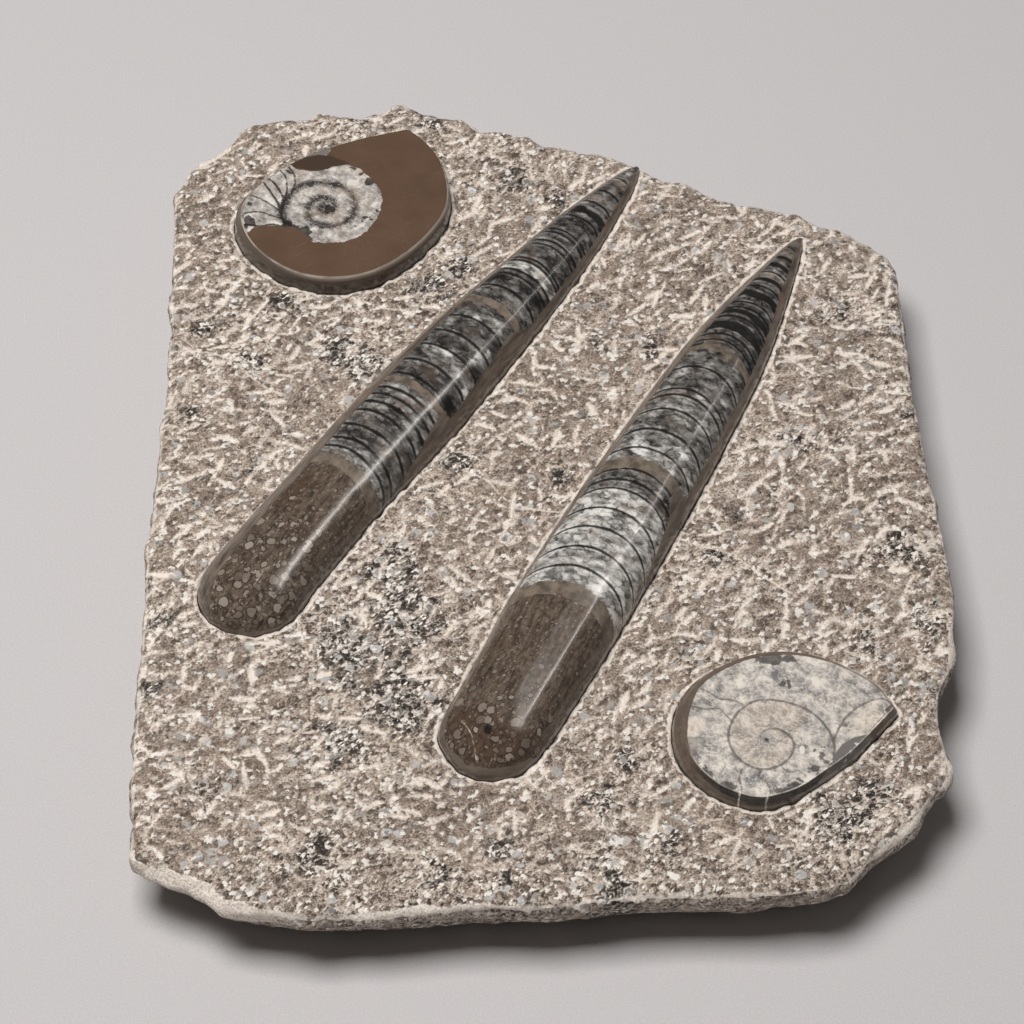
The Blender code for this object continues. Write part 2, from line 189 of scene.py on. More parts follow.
LEFT_CONE = {
    "tip": (37.2, 156.9),
    "heading": 55.35,
    "stations": (
        (0.0, 0.2, 0.9, 0.8), (4.0, 0.3, 3.1, 2.4), (15.0, 0.7, 6.1, 4.6), (29.0, 0.8, 8.8, 6.8),
        (47.0, 0.8, 11.6, 9.2), (77.0, 0.8, 14.6, 11.8), (98.0, 0.5, 16.5, 13.4),
        (120.0, 0.2, 18.2, 14.8), (150.0, 0.0, 19.4, 15.9), (180.0, 0.0, 19.4, 15.9),
        (205.0, 0.1, 18.7, 15.4), (240.0, 1.0, 18.9, 15.2), (256.0, 2.0, 19.6, 13.8),
        (264.0, 2.0, 18.6, 11.4), (270.0, 2.0, 15.5, 8.8), (274.5, 1.8, 10.8, 6.2),
        (277.0, 1.5, 3.8, 4.0),
    ),
    "septa": (
        (12.5, 0.7), (22.6, 1.0), (31.0, 0.8), (37.4, 4.4), (42.2, 0.8), (53.0, 0.9), (55.2, 1.0),
        (60.6, 1.2), (63.2, 0.8), (73.6, 1.0), (75.6, 1.2), (81.6, 1.0), (84.6, 0.8), (92.8, 1.1),
        (113.6, 1.0), (123.4, 1.0), (132.4, 1.0), (141.8, 1.1), (150.4, 0.9), (159.4, 1.3), (163.4, 0.9),
        (167.6, 1.3), (172.6, 1.1), (180.8, 1.1), (188.4, 1.1), (193.2, 1.1),
    ),
    "bands": ((100.6, 104.4), (152.4, 155.6), (197.2, 202.4)),
    "tones": (
        (0, 0.38), (14, 0.42), (30, 0.34), (44, 0.31), (58, 0.33), (75, 0.31), (76.5, 0.68), (80.5, 0.68),
        (82, 0.28), (92, 0.30), (95, 0.40), (104, 0.31), (130, 0.31), (152, 0.31), (157, 0.42),
        (180, 0.38), (190, 0.40), (197, 0.46),
    ),
    "edges": (
        (0, -24, 24), (10, -34, 32), (20, -38, 44), (30, -40, 52), (45, -42, 60), (75, -42, 63),
        (100, -40, 64), (106, -38, 46), (118, -36, 52), (135, -35, 58), (150, -35, 64), (154, -34, 50),
        (160, -34, 52), (170, -34, 62), (180, -34, 76), (186, -33, 100), (206, -33, 100),
    ),
    "smudges": (
        (88, -36, 2.2, 12, -0.40), (88, 40, 2.4, 14, -0.40), (60, -28, 2.4, 10, 0.25),
        (113, 0, 1.8, 6, 0.35), (109, 26, 2.4, 12, 0.45), (119, -22, 2.0, 10, 0.30),
        (126, 34, 3.0, 12, 0.50), (134, 4, 1.6, 16, 0.45), (132, 46, 2.6, 8, -0.30),
        (139, 54, 2.4, 7, 0.55), (121, 42, 1.6, 10, 0.35), (184.6, -10, 1.8, 22, -0.24),
        (186, 46, 2.4, 10, -0.25), (8, 6, 1.6, 18, 0.45), (116, 40, 3.0, 9, -0.25),
        (149, 50, 2.4, 12, -0.35), (137, 30, 1.4, 12, 0.4),
    ),
    "bow": ((0, 0.4, 4), (200, 0.4, 6)),
    "ridge": (96.0, 252.0, 0.55),
    "pebbles": ((200, 0.3), (222, 0.5), (240, 0.9), (250, 1.0), (277, 1.0)),
    "rust": ((218, -26, 13, 22, 0.9), (232, 22, 10, 18, 0.7), (262, -10, 8, 30, 0.6)),
    "stains": ((206, 36, 3.0, 8, 0.7), (258, 40, 4.0, 12, 0.5), (240, -44, 6.0, 8, 0.5)),
    "cracks": (
        ((238, 26), (246, 22), (251, 16), (255, 8), (258.5, -1)), ((251, 16), (257, 12), (262, 14)),
    ),
    "foot": 2.4,
}
CONE_SQUARENESS = 2.08
CONE_STEP = 0.6
CONE_SIDES = 72
# The facet beside the ridge: its angle from the crest, its reach, and its depth as a share
FACET_MIDDLE = 19.0
FACET_REACH = 11.0
FACET_DEPTH = 0.02
RIDGE_FADE = 8.0
# Over how much of the tip and before the rounded end the bow settles
BOW_FADES = (30.0, 40.0)
# The rounded end behind the last septum, and how finely the stations are joined and worn
CONE_END = 12.0
AXIS_POINTS = 600
WEAR_REACH = 12
WEAR_SPREAD = 4.5
# The way round the skin that goes with a degree, and the width of its pale cracks
ARC = 0.33
CRACK_WIDTH = 0.3

# Ammonites: the outer edge from the corner of the mouth round, and the height over the slab.
# Bevel is the breadth of the rounded edge on the right and on the left. The markings of the
# face are outlines, lines with their widths, and spots with their reach. A tone is a soft
# place of beige, or of blue-grey when it is less than nothing.
BROWN_COIL = {
    "edge": (
        (-54.8, 172.3), (-47.2, 165.0), (-40.5, 153.4), (-37.4, 138.6), (-38.4, 126.4), (-43.8, 115.0),
        (-53.4, 102.8), (-66.2, 93.4), (-80.4, 89.7), (-95.7, 91.7), (-109.0, 99.4), (-118.6, 110.6),
        (-122.8, 123.8), (-119.4, 135.6), (-108.6, 147.8), (-94.4, 158.2), (-75.2, 166.3),
    ),
    "height": 8.0,
    "bevel": (1.5, 3.4),
    "middle": (-85.6, 127.3),
    "calcite": (
        (-104.6, 149.2), (-101.5, 150.8), (-98, 148.2), (-93, 147.4), (-88, 148), (-84, 150), (-79, 151),
        (-74, 149), (-70.5, 145), (-67.5, 141), (-65.3, 137.5), (-64.3, 132), (-64.8, 126),
        (-66.8, 120.5), (-70, 115), (-74, 111.5), (-79, 109.3), (-86, 108.7), (-91, 109.2), (-93, 112),
        (-96.5, 115.5), (-99, 117.5), (-101.8, 117), (-106, 118), (-110, 117.8), (-114.3, 117),
        (-117.2, 113.6), (-119.4, 118), (-120.4, 124), (-118.4, 132), (-114.6, 139), (-109.8, 144.8),
    ),
    "lines": (
        ((-85.8, 128.3), (-87.6, 130), (-88.7, 127.3), (-87.2, 124.6), (-84, 125.2), (-82.7, 128.7),
         (-85, 132.2), (-88.9, 132.7), (-92.2, 130), (-93.4, 125.6), (-91.7, 120.6), (-87.4, 118),
         (-81.5, 118.2), (-76.8, 122.2), (-75, 128.9), (-77.1, 135.7), (-82.2, 139.8), (-89.2, 141.1),
         (-96.1, 139.5), (-100.4, 135), (-102.8, 129.6), (-103.6, 124.9), (-102.5, 120.9),
         (-99.7, 116.9)),
        ((-103.6, 123), (-104.8, 128), (-106.2, 131.6), (-111.5, 141.1)),
        ((-103.5, 127), (-103.8, 133.7), (-107.6, 141.1), (-110.1, 143.2)),
        ((-102.9, 129.6), (-102.2, 137.1), (-103, 143.9), (-105.4, 148)),
        ((-100.4, 135), (-99.1, 141.1), (-99.8, 145.9), (-102, 149.6)),
        ((-103.4, 121.6), (-106.8, 122.9), (-112.3, 125.2), (-117.7, 124.6), (-120.4, 122)),
        ((-104.4, 125.6), (-108.6, 129.6), (-113.7, 133), (-116.7, 134.3)),
        ((-103.8, 130), (-104, 125.8), (-103.5, 122.4), (-102.4, 119)),
        ((-117.7, 118.6), (-112, 117.6), (-107, 118.6), (-103, 117.4)),
    ),
    "line_widths": (0.2, 1.0, 0.95, 0.8, 0.7, 0.8, 0.75, 1.1, 1.0),
    "shade": (
        (-106, 147.5), (-101, 151.8), (-95.2, 155.2), (-90.6, 156.3), (-85.6, 155.8), (-81.7, 154),
        (-77.6, 151.5), (-83.6, 150), (-87.5, 147.7), (-92.4, 147.3), (-96, 148.7), (-98.5, 149.1),
    ),
    "patch": (
        (-101, 153.4), (-97, 157.4), (-91.5, 161.2), (-85.4, 163.4), (-86, 158.3), (-87.2, 155.9),
        (-90.2, 156.5), (-94.7, 155.4), (-98.6, 153.5),
    ),
    "cracks": (((-84.6, 163), (-85.3, 160.9), (-85.8, 158.7), (-87.4, 156.1)),),
    "spots": (
        (-85.4, 127, 2.4), (-116, 120.4, 2.6), (-117.6, 117.6, 1.6), (-100.9, 118.8, 1.9),
        (-98.2, 116.9, 2.2), (-95.1, 114.2, 2.9), (-92.6, 110.9, 1.7), (-94.2, 110.2, 1.2),
        (-67.9, 122.2, 1.0), (-70.8, 121.6, 1.3), (-66, 126.3, 0.9), (-75, 116.8, 0.8),
        (-69.4, 141.8, 1.8), (-72.6, 146, 1.2), (-76.4, 149, 0.9), (-116.6, 128.9, 1.1),
        (-104.4, 149.2, 1.2), (-101.4, 147, 1.0), (-88, 108.6, 1.0), (-81, 109, 0.9),
    ),
    "crack_widths": (0.25,),
    "tones": (),
}
GREY_COIL = {
    "edge": (
        (123.4, -110.4), (118.2, -100.6), (108.5, -92.6), (96.6, -87.0), (84.2, -84.7), (71.4, -86.2),
        (58.8, -91.8), (49.2, -99.8), (44.4, -109.8), (43.1, -119.8), (45.2, -129.8), (51.0, -138.6),
        (60.4, -145.8), (73.2, -149.2), (86.0, -145.4), (96.4, -138.0), (106.8, -129.4), (116.6, -118.2),
    ),
    "height": 5.5,
    "bevel": (1.4, 4.2),
    "middle": (75.8, -124.1),
    "calcite": (
        (85.2, -127.2), (86.5, -120.6), (89.6, -115.6), (91.5, -110.8), (86.2, -108.8), (79.8, -107.3),
        (74.5, -107.2), (69.4, -109.5), (65.7, -113.9), (63.1, -119.1), (62.8, -124.1), (64.4, -129.7),
        (68.9, -134.1), (73.8, -136.2), (79.3, -135), (83.3, -131.4),
    ),
    "lines": (
        ((75.2, -123.5), (73.8, -122), (76, -119.9), (79.8, -119.3), (83.7, -121.8), (85.5, -125.8),
         (84.1, -130.8), (80.2, -134.7), (74.1, -136.4), (68.4, -134.1), (64.4, -129.4), (62.7, -123),
         (63.9, -117.3), (67.2, -111.6), (72.7, -107.5), (79.8, -107.2), (86.2, -108.8),
         (92.4, -112.5), (97.3, -118.7), (99.5, -125.2), (99.2, -130.8)),
        ((53, -101.6), (56.5, -103.6), (60, -106.4), (64.6, -107), (68.4, -109)),
        ((50, -109.6), (55, -111), (59.6, -110.6), (62, -113.3), (64.5, -116.4)),
        ((51, -132.5), (55, -129.6), (58.6, -129.8), (62, -126.6)),
        ((59, -138.5), (61.2, -134.8), (60.6, -132.4), (63.5, -130)),
        ((65.4, -147.4), (66.5, -144), (65.8, -140.4), (67, -136)),
        ((74.9, -148.4), (76.4, -145.4), (75, -141.6), (72.6, -139.2), (74, -136.6)),
        ((81, -135.6), (83.4, -137.6), (86.6, -137), (89, -139)),
        ((97.6, -104), (97.8, -108), (95.5, -111)),
        ((99.6, -124.1), (102.7, -117), (107.1, -111.6), (112.1, -108.1), (116.9, -106.5),
         (120.3, -107.9), (122.4, -111.6)),
    ),
    "line_widths": (0.9, 0.6, 0.6, 0.4, 0.4, 0.7, 0.7, 0.4, 0.4, 0.75),
    "shade": (
        (98.9, -131.1), (102.5, -125.8), (106.4, -123), (110.2, -122.1), (115.3, -121), (119.7, -122.7),
        (110.7, -132), (103.3, -139), (96, -146), (88.3, -150), (90.5, -143), (95.9, -137.3),
    ),
    "patch": (
        (47, -122.6), (51.8, -122.8), (52, -126.6), (51.6, -130.4), (49.3, -131.1), (46.4, -129),
    ),
    "cracks": (
        ((65.2, -149.6), (65.4, -147.4), (66, -145.4)), ((74.9, -151), (75, -148.5), (75.8, -146)),
        ((88.2, -129), (88.3, -127.4)), ((88.6, -126), (89, -122), (88.8, -118.5)),
    ),
    "spots": (
        (74, -88.4, 1.2), (77, -88.8, 2.0), (79.4, -89.2, 2.4), (82, -89.4, 2.4), (84.6, -89.2, 2.2),
        (87, -89, 1.6), (84.8, -100.6, 1.0), (82, -100, 1.0), (53.6, -137.2, 2.0), (51.2, -134.4, 2.0),
        (49.6, -136, 1.6), (55.8, -139, 1.6), (60.8, -142.4, 1.7), (63, -143.6, 2.0), (60.4, -144.6, 1.4),
        (78.6, -144.8, 1.4), (81.4, -144.4, 1.6), (84.2, -143.4, 1.6), (87.4, -141.6, 1.2),
        (91.6, -136.4, 1.5), (94.6, -131.2, 1.3), (96.4, -133, 1.2), (93, -140.4, 1.6),
        (120.6, -110.6, 1.5), (121.4, -112.6, 1.2), (96.4, -126.8, 0.7), (92.8, -128.4, 0.7),
        (75.4, -123.6, 0.9),
    ),
    "crack_widths": (0.7, 0.7, 1.9, 0.3),
    "tones": (
        (50.6, -119, 4.6, 1.0), (113, -115, 6.5, 0.8), (107, -119, 4.0, 0.7), (104, -97, 7.0, 0.5),
        (83, -96, 3.4, -1.0), (76, -94, 3.0, -0.6), (60, -100, 5.0, -0.4), (70, -140, 4.5, -0.5),
        (90, -128, 5.0, -0.5), (56, -133, 4.0, -0.5), (96, -119, 3.0, -0.4), (82, -141, 4.0, -0.5),
    ),
}
COIL_STEP = 0.8
FACE_STEP = 0.6
WALL_DROP = 2.4
WALL_DROP_INSET = 0.35

# Colour of the bruised stone and depth of the polish's wear
CREAM = (239, 226, 213)
POLISH_DEPTH = 0.03

# Camera and light
CAMERA_PLACE = (-0.013, -0.79615, 1.02521)
CAMERA_TILT = 38.0
CAMERA_LENS = 120.0
ROOM_LIGHT = 0.085
GLOW_POWERS = (2.1, 1.4, 0.85, 0.4)
GLOW_HEADING = 61.0
WARM = (1.0, 0.95, 0.90)


# Working with outlines and scattered points

def outward(loop):
    """The unit normal at each point of a closed loop, pointing out of it."""
    following = np.roll(loop, -1, axis=0)
    ahead = following - np.roll(loop, 1, axis=0)
    ahead /= np.linalg.norm(ahead, axis=1, keepdims=True)
    normal = np.stack([ahead[:, 1], -ahead[:, 0]], axis=1)
    area = (loop[:, 0] * following[:, 1] - following[:, 0] * loop[:, 1]).sum()
    return normal if area > 0 else -normal


def offset(loop, distance):
    """The loop moved out of itself by a distance, which may be one for each point."""
    return loop + outward(loop) * np.reshape(distance, (-1, 1))


def evened(values, rounds):
    """Values round a loop, each drawn to its neighbours again and again."""
    for _ in range(rounds):
        values = (np.roll(values, 1, axis=0) + 2 * values + np.roll(values, -1, axis=0)) / 4
    return values


def softened(loop, spread):
    """The loop worn smooth; spread is the variance of the wearing in square millimetres."""
    step = np.linalg.norm(np.roll(loop, -1, axis=0) - loop, axis=1).mean()
    return evened(loop, round(spread / (0.5 * step**2)))


def curve_through(corners, step, closed=False):
    """A smooth curve through the corners. A closed one keeps its first corner sharp."""
    corners = np.array(corners, float)
    line = np.vstack([corners, corners[:1]]) if closed else corners
    line = np.vstack([2 * line[0] - line[1], line, 2 * line[-1] - line[-2]])
    points = []
    for p0, p1, p2, p3 in zip(line, line[1:], line[2:], line[3:]):
        count = max(2, round(np.linalg.norm(p2 - p1) / step))
        for t in np.arange(count) / count:
            points.append(
                (2 * t**3 - 3 * t**2 + 1) * p1
                + (t**3 - 2 * t**2 + t) * (p2 - p0) / 2
                + (3 * t**2 - 2 * t**3) * p2
                + (t**3 - t**2) * (p3 - p1) / 2
            )
    return np.array(points if closed else [*points, corners[-1]])


def distance_to(points, path, closed=True):
    """How far each point lies from the nearest edge of a loop or an open path."""
    path = np.array(path, float)
    ends = np.roll(path, -1, axis=0)
    if not closed:
        path, ends = path[:-1], ends[:-1]
    nearest = np.full(len(points), np.inf)
    for start, end in zip(path, ends):
        along = end - start
        share = np.clip((points - start) @ along / (along @ along), 0.0, 1.0)
        gap = points - (start + share[:, None] * along)
        nearest = np.minimum(nearest, np.hypot(gap[:, 0], gap[:, 1]))
    return nearest


def inside(points, loop):
    """Which points lie inside a closed loop, by counting the edges that a ray crosses."""
    loop = np.array(loop, float)
    odd = np.zeros(len(points), bool)
    for (x0, y0), (x1, y1) in zip(loop, np.roll(loop, -1, axis=0)):
        spans = (y0 > points[:, 1]) != (y1 > points[:, 1])
        rise = 1.0 if y1 == y0 else y1 - y0
        crossing = x0 + (points[:, 1] - y0) * (x1 - x0) / rise
        odd ^= spans & (points[:, 0] < crossing)
    return odd


def depth_in(points, loop):
    """Distance inside a closed loop, and less than nothing outside it."""
    return np.where(inside(points, loop), 1.0, -1.0) * distance_to(points, loop)


def lumps(points, size, seed):
    """Smooth random lumps from -1 to 1, each about size across, in two or three directions."""
    axes = points.shape[1]
    side = 512 if axes == 2 else 96
    table = np.random.default_rng(seed).uniform(-1.0, 1.0, (side,) * axes)
    cells = points / size + 1000.0
    base = np.floor(cells).astype(int)
    share = cells - base
    share = share**2 * (3 - 2 * share)
    total = np.zeros(len(points))
    for corner in itertools.product((0, 1), repeat=axes):
        weight = np.prod(np.where(corner, share, 1 - share), axis=1)
        total += weight * table[tuple(((base + corner) % side).T)]
    return total


def rough(points, size, seed, layers=3):
    """Lumps with finer lumps on them, each layer half as large and half as strong."""
    return sum(lumps(points, size / 2**k, seed + k) / 2**k for k in range(layers))


def gap_to(points, x, y):
    """How far each point lies from a place, seen from above."""
    return np.hypot(*(points[:, :2] - (x, y)).T)


def soft(gap, reach):
    """A soft spot: 1 in its middle, fading away past its reach."""
    return np.exp(-((gap / reach) ** 2))


def presence(place, start, end, rise, fall):
    """Nothing before the start, then 1, and nothing past the end, with even slopes."""
    return np.clip(np.minimum((place - start) / rise, (end - place) / fall), 0.0, 1.0)


def scattered(loop, holes, step, clear, random):
    """A loose triangular grid of points inside a loop and outside the holes."""
    lowest, highest = loop.min(axis=0), loop.max(axis=0)
    row_step = step * math.sqrt(3) / 2
    rows = []
    for row in range(int((highest[1] - lowest[1]) / row_step) + 1):
        x = np.arange(lowest[0] + 0.5 * step * (row % 2), highest[0], step)
        rows.append(at_level(x, lowest[1] + row * row_step))
    points = np.vstack(rows)
    points += random.uniform(-0.25, 0.25, points.shape) * step
    keep = inside(points, loop)
    keep[keep] = distance_to(points[keep], loop[::2]) > clear
    for hole in holes:
        near = keep & (points >= hole.min(axis=0) - step).all(axis=1)
        near &= (points <= hole.max(axis=0) + step).all(axis=1)
        keep[near] = depth_in(points[near], hole[::2]) < -clear
    return points[keep]


def filled(loops, points=NO_POINTS):
    """Triangles between the first loop and the others, through the points given: rows of
    numbers that count the loops' points first."""
    flat = np.vstack([*loops, points])
    edges = []
    first = 0
    for loop in loops:
        edges += [(first + i, first + (i + 1) % len(loop)) for i in range(len(loop))]
        first += len(loop)
    spots = [Vector(point) for point in flat]
    _, _, triangles, origins, _, _ = delaunay_2d_cdt(spots, edges, [], 0, 1e-6)
    source = np.array([origin[0] for origin in origins])
    rows = source[np.array(triangles)]
    middles = flat[rows].mean(axis=1)
    solid = inside(middles, loops[0])
    for loop in loops[1:]:
        solid &= ~inside(middles, loop)
    return rows[solid]


def at_level(points, level):
    """The points with one more measure, which is the same for all or given for each."""
    return np.column_stack([points, np.broadcast_to(level, len(points))])


def ring_faces(rings):
    """The faces that join each ring to the next one. Rings are rows of the points' numbers."""
    here, there = np.array(rings[:-1]), np.array(rings[1:])
    corners = [here, np.roll(here, -1, axis=1), np.roll(there, -1, axis=1), there]
    return np.stack(corners, axis=-1).reshape(-1, 4).tolist()


def add_mesh(name, points, faces, node, material, marks):
    """Adds a piece in place of a node of the solid. Marks are numbers kept for its material."""
    data = bpy.data.meshes.new(name)
    data.from_pydata((np.array(points) * MM).tolist(), [], faces)
    data.validate()
    shape = bmesh.new()
    shape.from_mesh(data)
    bmesh.ops.recalc_face_normals(shape, faces=shape.faces)
    shape.to_mesh(data)
    shape.free()
    data.shade_smooth()
    for mark, values in marks.items():
        values = np.asarray(values, np.float32)
        is_vector = values.size == 3 * len(points)
        kind, field = ("FLOAT_VECTOR", "vector") if is_vector else ("FLOAT", "value")
        data.attributes.new(mark, kind, "POINT").data.foreach_set(field, values.ravel())
    data.materials.append(material)
    piece = bpy.data.objects.new(name, data)
    bpy.context.scene.collection.objects.link(piece)
    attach(piece, "root")
    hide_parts(node)


# The slab

def stamp_marks():
    """Two fields over the top, one for how pale the chisel's bruise is and one for its depth."""
    random = np.random.default_rng(SEED)
    pale = np.zeros(FIELD_SIZE)
    depth = np.zeros(FIELD_SIZE)
    columns, rows = (np.array(FIELD_SIZE) * FIELD_STEP / MARK_STEP).astype(int)
    for cell in itertools.product(range(columns), range(rows)):
        middle = (np.array(cell) + random.uniform(0.0, 1.0, 2)) * MARK_STEP
        turned = lumps((middle + FIELD_LOW)[None, :], MARK_DRIFT_SIZE, SEED + 3)[0]
        heading = MARK_HEADING + MARK_SPREAD * random.normal() + MARK_DRIFT * min(turned, 0.0)
        if random.uniform() < STRAY_MARKS:
            heading = random.uniform(0.0, 180.0)
        length = random.uniform(*MARK_LENGTH) + (random.uniform() < LONG_MARKS) * LONG_MARK_EXTRA
        breadth = random.uniform(*MARK_BREADTH)
        strength = random.uniform(*MARK_STRENGTH)
        nearest = np.round(middle / FIELD_STEP).astype(int)
        reach = int(length / 2 / FIELD_STEP) + 2
        low = np.maximum(nearest - reach, 0)
        high = np.minimum(nearest + reach, FIELD_SIZE)
        i, j = np.mgrid[low[0] : high[0], low[1] : high[1]]
        dx, dy = i * FIELD_STEP - middle[0], j * FIELD_STEP - middle[1]
        c, s = math.cos(math.radians(heading)), math.sin(math.radians(heading))
        along, across = (dx * c + dy * s) / (length / 2), (dy * c - dx * s) / (breadth / 2)
        # A stroke is an ellipse that is wider and deeper at its far end
        half = np.sqrt(np.maximum(1 - along**2, 0.0)) * (1 + 0.35 * along)
        stroke = np.maximum(1 - (across / np.maximum(half, 0.05)) ** 2, 0.0) * (half > 0.06)
        patch = (slice(low[0], high[0]), slice(low[1], high[1]))
        pale[patch] = np.maximum(pale[patch], stroke * strength)
        depth[patch] = np.maximum(depth[patch], stroke * strength * (0.7 + 0.3 * along))
    return pale, depth


def read_field(field, points):
    """The value of a field at each point, blended between its four nearest places."""
    place = (points - FIELD_LOW) / FIELD_STEP
    place = np.clip(place, 0, np.array(FIELD_SIZE) - 1.001)
    base = np.floor(place).astype(int)
    (i, j), (u, v) = base.T, (place - base).T
    near = field[i, j] * (1 - v) + field[i, j + 1] * v
    far = field[i + 1, j] * (1 - v) + field[i + 1, j + 1] * v
    return near * (1 - u) + far * u


def fine_rim():
    """The rim's corners joined by short steps, worn a little and chipped in and out."""
    corners = np.array(RIM_CORNERS, float)
    points = []
    for start, end in zip(corners, np.roll(corners, -1, axis=0)):
        count = max(1, round(np.linalg.norm(end - start) / RIM_STEP))
        points.extend(start + (end - start) * i / count for i in range(count))
    loop = softened(np.array(points), RIM_WEAR)
    return offset(loop, rough(loop, 12.0, SEED + 11, 4) * RIM_CHIP - 0.2)


def near_break(points, x, y, run):
    """How much each point belongs to the part of the rim that has a fresh break."""
    return np.exp(-((gap_to(points, x, y) / run) ** 4))


def break_top(points, rim_gap):
    """How far the fresh breaks lower the top near the rim, and how fresh the stone is."""
    depth, fresh = np.zeros((2, len(points)))
    uneven = 1 + 0.45 * rough(points, 9.0, SEED + 21)
    for x, y, run, width, drop in BREAKS:
        nearby = near_break(points, x, y, run)
        ragged = width * uneven * nearby
        slope = np.clip(1 - rim_gap / np.maximum(ragged, 0.1), 0.0, 1.0)
        depth = np.maximum(depth, drop * nearby * slope)
        fresh = np.maximum(fresh, nearby * 1.2 * (ragged - rim_gap))
    return depth, np.clip(fresh, 0.0, 1.0)


def break_side(points):
    """How fresh the stone is on the broken edge under each break of the rim."""
    fresh = np.zeros(len(points))
    # Only the upper part of the edge is fresh
    high = np.clip((points[:, 2] - 15.0) / 9.0, 0.0, 1.0)
    for x, y, run, _, drop in BREAKS:
        fresh = np.maximum(fresh, near_break(points, x, y, run) * high * min(drop / 3.0, 1.0))
    return fresh


def edge_rings(rim, rim_height, first):
    """Points and faces of the broken edge, from the rim down to the sawn underside."""
    keys = [(rim, rim_height)]
    for level, inset, spread in EDGE_RINGS:
        keys.append((offset(softened(rim, spread), -inset), np.full(len(rim), level)))
    rings = []
    for (upper, upper_z), (lower, lower_z) in zip(keys, keys[1:]):
        count = round(float(np.mean(upper_z - lower_z)) / EDGE_STEP)
        for i in range(1, count + 1):
            share = i / count
            loop = upper * (1 - share) + lower * share
            level = upper_z * (1 - share) + lower_z * share
            # Low wide lumps that fade at the floor, and a swelling just under the rim
            place = at_level(loop, level * 2.2)
            bulge = rough(place, 13.0, SEED + 71, 6) * 0.9 + np.abs(lumps(place, 6.0, SEED + 81)) * 0.8
            bulge *= min(1.0, level.mean() / 2.0)
            bulge += 0.9 * soft(level.mean() - BULGE_LEVEL, 3.0)
            rings.append(at_level(offset(loop, bulge - 0.4), level))
    count = len(rim)
    numbers = first + np.arange(len(rings) * count).reshape(-1, count)
    faces = ring_faces([np.arange(count), *numbers])
    under = filled([rings[-1][:, :2]]) + numbers[-1, 0]
    return np.vstack(rings), faces + under[:, ::-1].tolist()


def slab_top(flat, rim_gap, seat_gap):
    """The height of the chiselled top, and its marks of the chisel and of fresh stone."""
    pale_field, depth_field = stamp_marks()
    warp = np.stack([rough(flat, 4.0, SEED + k, 2) for k in (31, 41)], axis=1) * 0.45
    quiet = np.clip(seat_gap / 3.0, 0.0, 1.0)
    across, along = flat.T * math.tau
    height = SLAB_TOP + SWELL * np.sin(across / SWELL_ACROSS) * np.cos(along / SWELL_ALONG)
    uneven = rough(flat, 11.0, SEED + 51, 4) * 0.5 + 0.25
    height += (uneven - MARK_DEPTH * read_field(depth_field, flat + warp)) * quiet
    height -= RIM_DROP * np.exp(-rim_gap / RIM_DROP_REACH) * (1 + 0.5 * rough(flat, 7.0, SEED + 61))
    broken, fresh = break_top(flat, rim_gap)
    lip = (LIP_CHIP * rough(flat, 3.4, SEED + 141, 2) - 0.2) * np.exp(-seat_gap / LIP_REACH)
    front, reach, calm = CALM_FRONT
    pale = read_field(pale_field, flat + warp) * (1 - calm * soft(flat[:, 1] - front, reach)) * quiet
    return height - broken + lip, pale, fresh


def stone_patches(points, top_count):
    """Marks of the stone itself: dark patches, shelly parts and the mottle of all of it."""
    dark, shelly = np.zeros((2, len(points)))
    for x, y, reach, strength in DARK_PATCHES:
        away = gap_to(points, x, y)
        dark = np.maximum(dark, strength * soft(away, DARK_REACH * reach))
        shelly = np.maximum(shelly, strength * soft(away, SHELLY_REACH * reach))
    dark += rough(points, 5.0, SEED + 101, 3) * 0.36
    front, reach, strength = SHELLY_FRONT
    shelly += strength * soft(points[:, 1] - front, reach)
    shelly[top_count:] = 1.0
    return {
        "dark_patch": np.clip((dark - 0.32) / 0.22, 0.0, 1.0),
        "shelly": np.clip(shelly + 0.5 * rough(points, 14.0, SEED + 121, 3), 0.0, 1.0),
        "mottle": 0.45 + 0.10 * rough(points, 9.0, SEED + 111, 4),
    }


def make_slab(seats, material):
    """The slab: its chiselled top, the floors of its seats and its broken edge."""
    rim = fine_rim()
    loops = [rim, *seats]
    points = scattered(rim, seats, TOP_STEP, 0.55 * TOP_STEP, np.random.default_rng(SEED + 2))
    faces = filled(loops, points).tolist()
    flat = np.vstack([*loops, points])
    rim_gap = distance_to(flat, RIM_CORNERS)
    seat_gap = np.min([distance_to(flat, seat[::3]) for seat in seats], axis=0)
    height, pale, fresh = slab_top(flat, rim_gap, seat_gap)

    mesh_points = [at_level(flat, height)]
    first, start = len(flat), len(rim)
    for seat in seats:
        numbers = np.arange(len(seat))
        mesh_points.append(at_level(seat, SLAB_TOP - SEAT_DEPTH))
        faces += ring_faces([start + numbers, first + numbers]) + (filled([seat]) + first).tolist()
        first += len(seat)
        start += len(seat)
    side_points, side_faces = edge_rings(rim, height[: len(rim)], first)
    everywhere = np.vstack([*mesh_points, side_points])

    veins = [distance_to(flat, curve_through(vein, 2.0), False) for vein in VEINS]
    marks = stone_patches(everywhere, len(flat))
    below = len(everywhere) - len(flat)
    for mark, values, elsewhere in (
        ("chisel", pale, 0.25), ("rim_gap", rim_gap, FAR), ("seat_gap", seat_gap, FAR),
        ("vein_gap", np.min(veins, axis=0), FAR), ("fresh", fresh, 0.0),
    ):
        marks[mark] = np.pad(values, (0, below), constant_values=elsewhere)
    marks["fresh"][-len(side_points) :] = break_side(side_points)
    add_mesh(
        "chiselled_slab", everywhere, faces + side_faces, "stone_slab", material, marks
    )


# The orthocones

